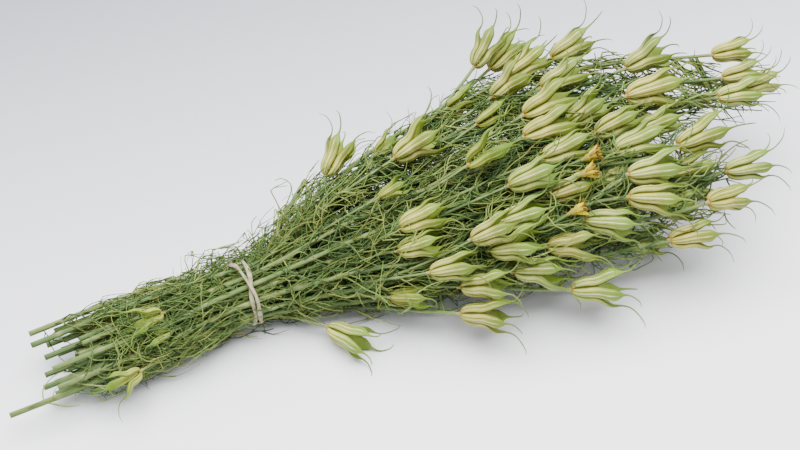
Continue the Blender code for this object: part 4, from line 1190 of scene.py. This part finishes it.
def cover_pod(cover, pod, draw):
    """Adds a seed pod: its follicles with their beaks, and the collar below them."""
    warm = draw.uniform(0.9, 1.1)
    tint = np.array((warm, 1.0, draw.uniform(0.78, 1.05))) * draw.uniform(0.88, 1.08)
    if pod.strand.kind == YOUNG_POD:
        tint = tint * np.array(YOUNG_TINT)
    for lobe in range(pod.lobes):
        angle = pod.lobe_angle(lobe)
        out = pod.outwards(angle)
        horn = pod.horn(lobe, pod.flares[lobe])
        swept = unit(out * 0.8 - pod.axis * 0.2 + np.cross(pod.axis, out) * pod.bends[lobe])
        curl = unit(horn[3] - horn[2]) * 0.6 + swept
        last = horn[3] + curl * CURL * draw.uniform(0.3, 1.1)
        last[2] = max(last[2], LEAF_FLOOR)
        line = [pod.point(share, radius, angle) for share, radius in FOLLICLE_LINE]
        centres = curve_through([*line, *horn, last], FOLLICLE_ROWS)
        places, *tables = zip(*FOLLICLE_SHAPE)
        steps = np.linspace(0, places[-1], FOLLICLE_ROWS)
        flare = FLARE * pod.size * np.exp(-(((steps - FLARE_PLACE) / FLARE_RUN) ** 2))
        centres = centres + flare[:, None] * out
        ahead = lengths_one(np.gradient(centres, axis=0))
        outward = lengths_one(out - np.sum(out * ahead, axis=1)[:, None] * ahead)
        aside = np.cross(ahead, outward)
        sizes = (PLUMPNESS * np.interp(steps, places, table)[:, None] * pod.size for table in tables)
        width, outer, inner = sizes
        turn = 2 * math.pi * np.arange(FOLLICLE_COLUMNS) / FOLLICLE_COLUMNS - math.pi
        rise = np.where(np.cos(turn) > 0, outer, inner) * np.cos(turn) * (1 + KEEL_RISE * (abs(turn) < 0.1))
        across = width * np.sin(turn) * draw.uniform(0.9, 1.05)
        rings = centres[:, None] + rise[..., None] * outward[:, None] + across[..., None] * aside[:, None]
        rings[..., 2] = np.maximum(rings[..., 2], POD_FLOOR)
        shade = draw.uniform(0.92, 1.06)
        cover.add(rings[None], np.tile(tint * shade, (1, FOLLICLE_ROWS, 1)), PODS)
    centres = np.array([pod.base + pod.axis * along * pod.size for along, _ in CALYX])
    radii = np.array([radius for _, radius in CALYX]) * pod.size
    rings = tube_rings(centres[None], radii[None], STEM_COLUMNS)
    shades = np.linspace(0, 1, len(CALYX))[:, None]
    cover.add(rings, (linear(STEM_TOP) * (1 - shades) + linear(CALYX_COLOUR) * shades)[None], LEAF)


def cover_flower(cover, flower, draw):
    """Adds a withered flower: shrunken petals and a tuft of stamens."""
    lines = []
    for petal, spread in enumerate(flower.spreads):
        lines.append(curve_through(flower.petal(petal, spread), len(PETAL_RADII)))
    shades = [linear(draw.choice(PETAL_COLOURS)) for _ in lines]
    add_lines(cover, lines, PETAL_RADII, shades, PETAL_COLUMNS, PETAL)
    tufts, shades = [], []
    for _ in range(STAMENS):
        angle = draw.uniform(0, 2 * math.pi)
        out = flower.outwards(angle)
        root = flower.base + flower.axis * FLOWER_CUP + out * draw.uniform(0, STAMEN_SPREAD)
        lean = draw.uniform(*STAMEN_LEANS)
        length = draw.uniform(*STAMEN_LENGTHS)
        middle = root + (flower.axis * 0.6 + out * 0.25 * lean) * length
        end = middle + (flower.axis * 0.3 + out * 0.5 * lean) * length
        tufts.append(curve_through([root, middle, end], len(STAMEN_RADII)))
        shades.append(linear(draw.choice(STAMEN_COLOURS)))
    add_lines(cover, tufts, STAMEN_RADII, shades, STAMEN_COLUMNS, PETAL)
    cup = np.array([flower.base + flower.axis * along for along, _ in CUP])
    radii = np.array([radius for _, radius in CUP]) * flower.size
    tints = np.tile(linear(CUP_COLOUR), (1, len(CUP), 1))
    cover.add(tube_rings(cup[None], radii[None], STEM_COLUMNS), tints, PETAL)


def add_lines(cover, lines, radii, tints, columns, kind):
    """Adds tubes of one shape along lines, each of one colour."""
    rings = tube_rings(np.array(lines), np.tile(np.array(radii), (len(lines), 1)), columns)
    cover.add(rings, np.repeat(np.array(tints)[:, None], len(radii), axis=1), kind)


def cover_base_threads(cover, strand, draw):
    """Adds the leaves that the solid shape has."""
    lines = []
    for travelled, threads in strand.stops:
        if isinstance(threads, list):
            for path in threads:
                lines.append(curve_through([strand.point(strand.at(travelled)), *path], LEAF_ROWS))
    if lines:
        radii = THREAD_RADIUS * np.linspace(*THREAD_TAPER, LEAF_ROWS)
        tints = [linear(draw.choice(LEAF_COLOURS)) for _ in lines]
        add_lines(cover, lines, radii, tints, BASE_THREAD_COLUMNS, LEAF)


def turned(vectors, axes, angles):
    """Vectors turned round axes."""
    cosine, sine = np.cos(angles)[:, None], np.sin(angles)[:, None]
    along = np.sum(vectors * axes, axis=1)[:, None]
    return vectors * cosine + np.cross(axes, vectors) * sine + axes * along * (1 - cosine)


def outline_at(reach):
    """The bunch's middle, half width and half height at a reach."""
    return (np.interp(reach, STATIONS, column) for column in (MIDDLE, HALF_WIDTH, HALF_HEIGHT))


def painted_depth_shade(points):
    """Painted shade for leaves: how light a place is, dark deep inside the bunch and low down, and light
    near its outside.
    """
    middle, width, height = outline_at(points[..., 0])
    reached = np.hypot((points[..., 1] - middle) / width, (points[..., 2] - height) / height)
    reached = reached * np.clip(PAINTED_SHADE_LOW + PAINTED_SHADE_RISE * points[..., 2] / height, 0, 1)
    share = np.clip((reached - PAINTED_SHADE_FROM) / (PAINTED_SHADE_TO - PAINTED_SHADE_FROM), 0, 1)
    return (PAINTED_SHADE_INSIDE + (1 - PAINTED_SHADE_INSIDE) * share)[..., None]


def keep_in(points, limits, tie_limits):
    """Points pulled back inside the bunch, above the table and through the tie."""
    middle, width, height = outline_at(points[:, 0])
    offset = np.stack([(points[:, 1] - middle) / width, (points[:, 2] - height) / height], axis=1)
    reached = np.linalg.norm(offset, axis=1)
    near_tie = np.exp(-(((points[:, 0] - TIE_PLACE) / TIE_PULL_RUN) ** 2))
    limit = limits + (tie_limits - limits) * near_tie
    offset = offset * np.where(reached > limit, limit / np.maximum(reached, 1e-9), 1.0)[:, None]
    kept = np.stack([points[:, 0], middle + offset[:, 0] * width, height + offset[:, 1] * height], axis=1)
    kept[:, 2] = np.maximum(kept[:, 2], LEAF_FLOOR)
    return kept


def clear_of_pods(points, pods, radii):
    """Points pushed out of the pods' bodies."""
    for pod, radius in zip(pods, radii):
        near = np.all(abs(points - pod) < radius, axis=1)
        if near.any():
            offset = points[near] - pod
            distance = np.linalg.norm(offset, axis=1, keepdims=True)
            pushed = pod + offset * radius / np.maximum(distance, 1e-6)
            points[near] = np.where(distance < radius, pushed, points[near])
    return points


def grow_lines(draws, roots, directions, lengths, rows, limits, tie_limits, pods, radii):
    """Waving lines that grow from roots, kept inside the bunch and out of the pods."""
    count = len(roots)
    steps = lengths / (rows - 1)
    axes = lengths_one(draws.normal(size=(count, 3)))
    turns = draws.uniform(*LEAF_TURN, count) * draws.choice([-1, 1], count)
    waves = draws.uniform(*LEAF_WAVES, count)
    starts = draws.uniform(0, 2 * math.pi, count)
    lines = [roots]
    heading = lengths_one(directions)
    follow = np.zeros((count, 3))
    follow[:, 0] = LEAF_FOLLOW * draws.uniform(0, 1.4, count)
    for row in range(1, rows):
        wave = np.sin(starts + row * 2 * math.pi / (rows / waves))
        heading = turned(heading, axes, turns * (LEAF_CURL + wave))
        heading = lengths_one(heading + LEAF_WAVER * draws.normal(size=(count, 3)) + follow)
        ahead = clear_of_pods(lines[-1] + heading * steps[:, None], pods, radii)
        ahead = keep_in(ahead, limits, tie_limits)
        heading = lengths_one(ahead - lines[-1])
        lines.append(ahead)
    return np.stack(lines, axis=1)


def cover_leaves(cover, strands, draws, pods, radii):
    """Adds the fine leaves of one plant, with their leaflets."""
    roots, headings = [], []
    for strand in strands:
        wanted = int(strand.length * LEAVES_PER_METRE)
        travelled = draws.uniform(0.006, max(strand.length - 0.007, 0.008), wanted)
        reaches = strand.at(travelled)
        kept = draws.uniform(0, THICKEST, wanted) < np.interp(reaches, *zip(*THINNING))
        reaches = reaches[kept]
        if not len(reaches):
            continue
        side, height = (np.interp(reaches, STATIONS, strand.path[:, axis]) for axis in range(2))
        roots.append(np.stack([reaches, side, height], axis=1))
        angles = draws.uniform(0, 2 * math.pi, len(reaches))
        out = np.stack([np.zeros(len(reaches)), np.cos(angles), np.sin(angles)], axis=1)
        forwards = np.array((strand.forward, 0.0, 0.0))
        spreads = draws.uniform(0.3, 1.0, (len(reaches), 1))
        headings.append(out * spreads + forwards * draws.uniform(0.5, 1.5, (len(reaches), 1)))
    roots, headings = np.concatenate(roots), np.concatenate(headings)
    count = len(roots)
    limits = draws.uniform(*LEAF_LIMITS, count)
    fringe = (draws.uniform(size=count) < FRINGE_SHARE) & (roots[:, 0] < FRINGE_END)
    limits = np.where(fringe, draws.uniform(*FRINGE_LIMITS, count), limits)
    over_tie = draws.uniform(size=count) < OVER_TIE_SHARE
    tie_limits = np.where(over_tie, draws.uniform(*OVER_TIE_LIMITS, count), INSIDE_TIE)
    beside_tie = abs(roots[:, 0] - TUFT_PLACE) < TUFT_RUN
    far_side = roots[:, 1] > np.interp(roots[:, 0], STATIONS, MIDDLE)
    tuft = (beside_tie & far_side & (draws.uniform(size=count) < TUFT_SHARE))[:, None]
    headings = np.where(tuft, TUFT_HEADING + 0.5 * draws.normal(size=(count, 3)), headings)
    high = draws.uniform(*TUFT_LIMITS, count)
    limits, tie_limits = (np.where(tuft[:, 0], high, usual) for usual in (limits, tie_limits))
    room = (limits, tie_limits, pods, radii)
    leaves = grow_lines(draws, roots, headings, draws.uniform(*LEAF_LENGTHS, count), LEAF_ROWS, *room)
    palette = GREENER * np.array([linear(shade) for shade in LEAF_COLOURS])
    tints = palette[draws.integers(0, len(palette), count)] * draws.uniform(0.75, 1.2, (count, 1))
    thickness = LEAF_RADIUS * np.interp(roots[:, 0], *zip(*THICKENING))[:, None]
    taper = thickness * np.linspace(*LEAF_TAPER, LEAF_ROWS) * draws.uniform(0.8, 1.2, (count, 1))
    # The leaves' tints carry painted shade, darker deep inside the bunch and low down
    cover.add(tube_rings(leaves, taper, THREAD_COLUMNS), tints[:, None] * painted_depth_shade(leaves), LEAF)
    for _ in range(LEAFLETS_PER_LEAF):
        rows = draws.integers(2, LEAF_ROWS - 2, count)
        at = leaves[np.arange(count), rows]
        along = leaves[np.arange(count), rows + 1] - at
        heading = lengths_one(along) + 0.8 * draws.normal(size=(count, 3))
        lengths = draws.uniform(*LEAF_LENGTHS, count) * draws.uniform(*LEAFLET_SHARES, count)
        lines = grow_lines(draws, at, heading, lengths, LEAFLET_ROWS, *room)
        taper = thickness * np.linspace(*LEAFLET_TAPER, LEAFLET_ROWS) * draws.uniform(0.8, 1.1, (count, 1))
        # The leaflets' tints carry the same painted shade
        shades = LEAFLET_LIGHTNESS * tints[:, None] * painted_depth_shade(lines)
        cover.add(tube_rings(lines, taper, THREAD_COLUMNS), shades, LEAF)


def pod_spheres(heads):
    """The places and sizes of the pods' bodies."""
    places, radii = [], []
    for head in heads:
        if isinstance(head, Pod):
            for share, radius in BODY_SPHERES:
                places.append(head.point(share, 0.0, 0.0))
                radii.append((radius + POD_CLEARANCE) * head.size)
    return np.array(places), np.array(radii)


def rounded(value, power):
    """A value from -1 to 1 raised to a power with its sign kept, which makes a circle squarer."""
    return math.copysign(abs(value) ** power, value)


def make_band(look):
    """The tie, with rounded edges."""
    rings = []
    for step in range(BAND_STATIONS + 1):
        angle = TIE_CROSSING - math.pi + 4 * math.pi * (step % BAND_STATIONS) / BAND_STATIONS
        point = tie_path(angle)
        ahead = unit(tie_path(angle + BAND_LOOK_AHEAD) - tie_path(angle - BAND_LOOK_AHEAD))
        outwards = np.array((0.0, point[1], point[2] - TIE_HEIGHT))
        flat = smooth((BAND_FLAT - point[2]) / BAND_FLAT_RUN)
        outwards = unit(outwards) * (1 - flat) - UP * flat
        outwards = unit(outwards - ahead * (outwards @ ahead))
        aside = np.cross(ahead, outwards)
        pinch = BAND_PINCH
        for strength, waves, begin in BAND_WAVES:
            pinch += strength * math.sin(waves * angle + begin)
        shift = BAND_SHIFT * math.sin(BAND_SWAY[0] * angle + BAND_SWAY[1])
        ring = []
        for corner in range(BAND_CORNERS):
            turn = 2 * math.pi * corner / BAND_CORNERS
            wide = rounded(math.cos(turn), BAND_ROUNDNESS[0]) * TIE_WIDTH / 2 * pinch
            thick = rounded(math.sin(turn), BAND_ROUNDNESS[1]) * TIE_THICKNESS / 2
            fold = BAND_FOLD * abs(math.cos(turn)) * math.sin(math.pi * wide / TIE_WIDTH + 3 * angle)
            ring.append(point + aside * (wide + shift) + outwards * (thick + fold * (1 - flat)))
        rings.append(ring)
    rings = np.array(rings)[None, :, ::-1]
    rings[..., 2] = np.maximum(rings[..., 2], BAND_FLOOR)
    cover = Cover()
    cover.add(rings, np.ones((1, BAND_STATIONS + 1, 3)), 0)
    return cover.make("tie_elastic", [look])


def place_object(name, data, place, forwards=None):
    """Puts an object into the scene, at a place and looking forwards where that is given."""
    made = bpy.data.objects.new(name, data)
    made.location = place
    if forwards is not None:
        made.rotation_euler = Vector(forwards).to_track_quat("-Z", "Y").to_euler()
    bpy.context.scene.collection.objects.link(made)
    return made


def make_camera():
    """The camera at the photograph's place."""
    level = math.cos(CAMERA_ELEVATION)
    side, away = math.sin(CAMERA_AZIMUTH) * level, -math.cos(CAMERA_AZIMUTH) * level
    back = np.array((side, away, math.sin(CAMERA_ELEVATION)))
    data = bpy.data.cameras.new("camera")
    data.lens, data.sensor_width = CAMERA_LENS, CAMERA_SENSOR
    made = place_object("camera", data, np.array(CAMERA_AIM) + CAMERA_DISTANCE * back, -back)
    bpy.context.scene.camera = made


def make_light(name, place, aim, size, power, shade=(1.0, 1.0, 1.0)):
    """A soft square light that looks at a point."""
    data = bpy.data.lights.new(name, "AREA")
    data.size, data.energy, data.color = size, power, shade
    place_object(name, data, place, Vector(aim) - Vector(place))


def make_studio():
    """The floor and the lights."""
    floor_mesh = bpy.data.meshes.new("floor")
    corners = [(x * FLOOR_HALF, y * FLOOR_HALF, 0) for x, y in ((-1, -1), (1, -1), (1, 1), (-1, 1))]
    floor_mesh.from_pydata(corners, [], [(0, 1, 2, 3)])
    floor_mesh.materials.append(floor_look())
    floor = place_object("floor", floor_mesh, (0.0, 0.0, 0.0))
    make_light("sky", (0.15, 0.30, 1.5), LIGHT_AIM, 1.7, 104.0, (0.985, 0.992, 1.0))
    make_light("side", (-0.9, 0.6, 0.9), LIGHT_AIM, 0.7, 10.0)
    world = bpy.data.worlds.new("world")
    bpy.context.scene.world = world
    world.use_nodes = True
    back = world.node_tree.nodes["Background"]
    back.inputs["Color"].default_value = SKY_COLOUR
    back.inputs["Strength"].default_value = SKY_STRENGTH


def main():
    """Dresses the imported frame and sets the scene."""
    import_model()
    strands = make_strands()
    heads, crowd = make_heads(strands)
    make_stops(strands, crowd)
    looks = [stem_look(), leaf_look(), pod_look(), petal_look()]
    pods, radii = pod_spheres(heads)
    for number in range(strands[-1].plant + 1):
        draw = random.Random(SEED * 7000 + number)
        draws = np.random.default_rng(SEED * 9000 + number)
        cover = Cover()
        own = [strand for strand in strands if strand.plant == number]
        for strand in own:
            cover_stem(cover, strand, draw)
            cover_base_threads(cover, strand, draw)
            head = heads[strand.number]
            if isinstance(head, Pod):
                cover_pod(cover, head, draw)
            elif isinstance(head, Flower):
                cover_flower(cover, head, draw)
        cover_leaves(cover, own, draws, pods, radii)
        piece = cover.make(f"plant_{number + 1:02d}", looks)
        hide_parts(f"leafy_stem_{number + 1:02d}")
        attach(piece, "root")
    band = make_band(band_look())
    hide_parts("tie_band")
    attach(band, "root")
    make_camera()
    make_studio()
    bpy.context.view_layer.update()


main()
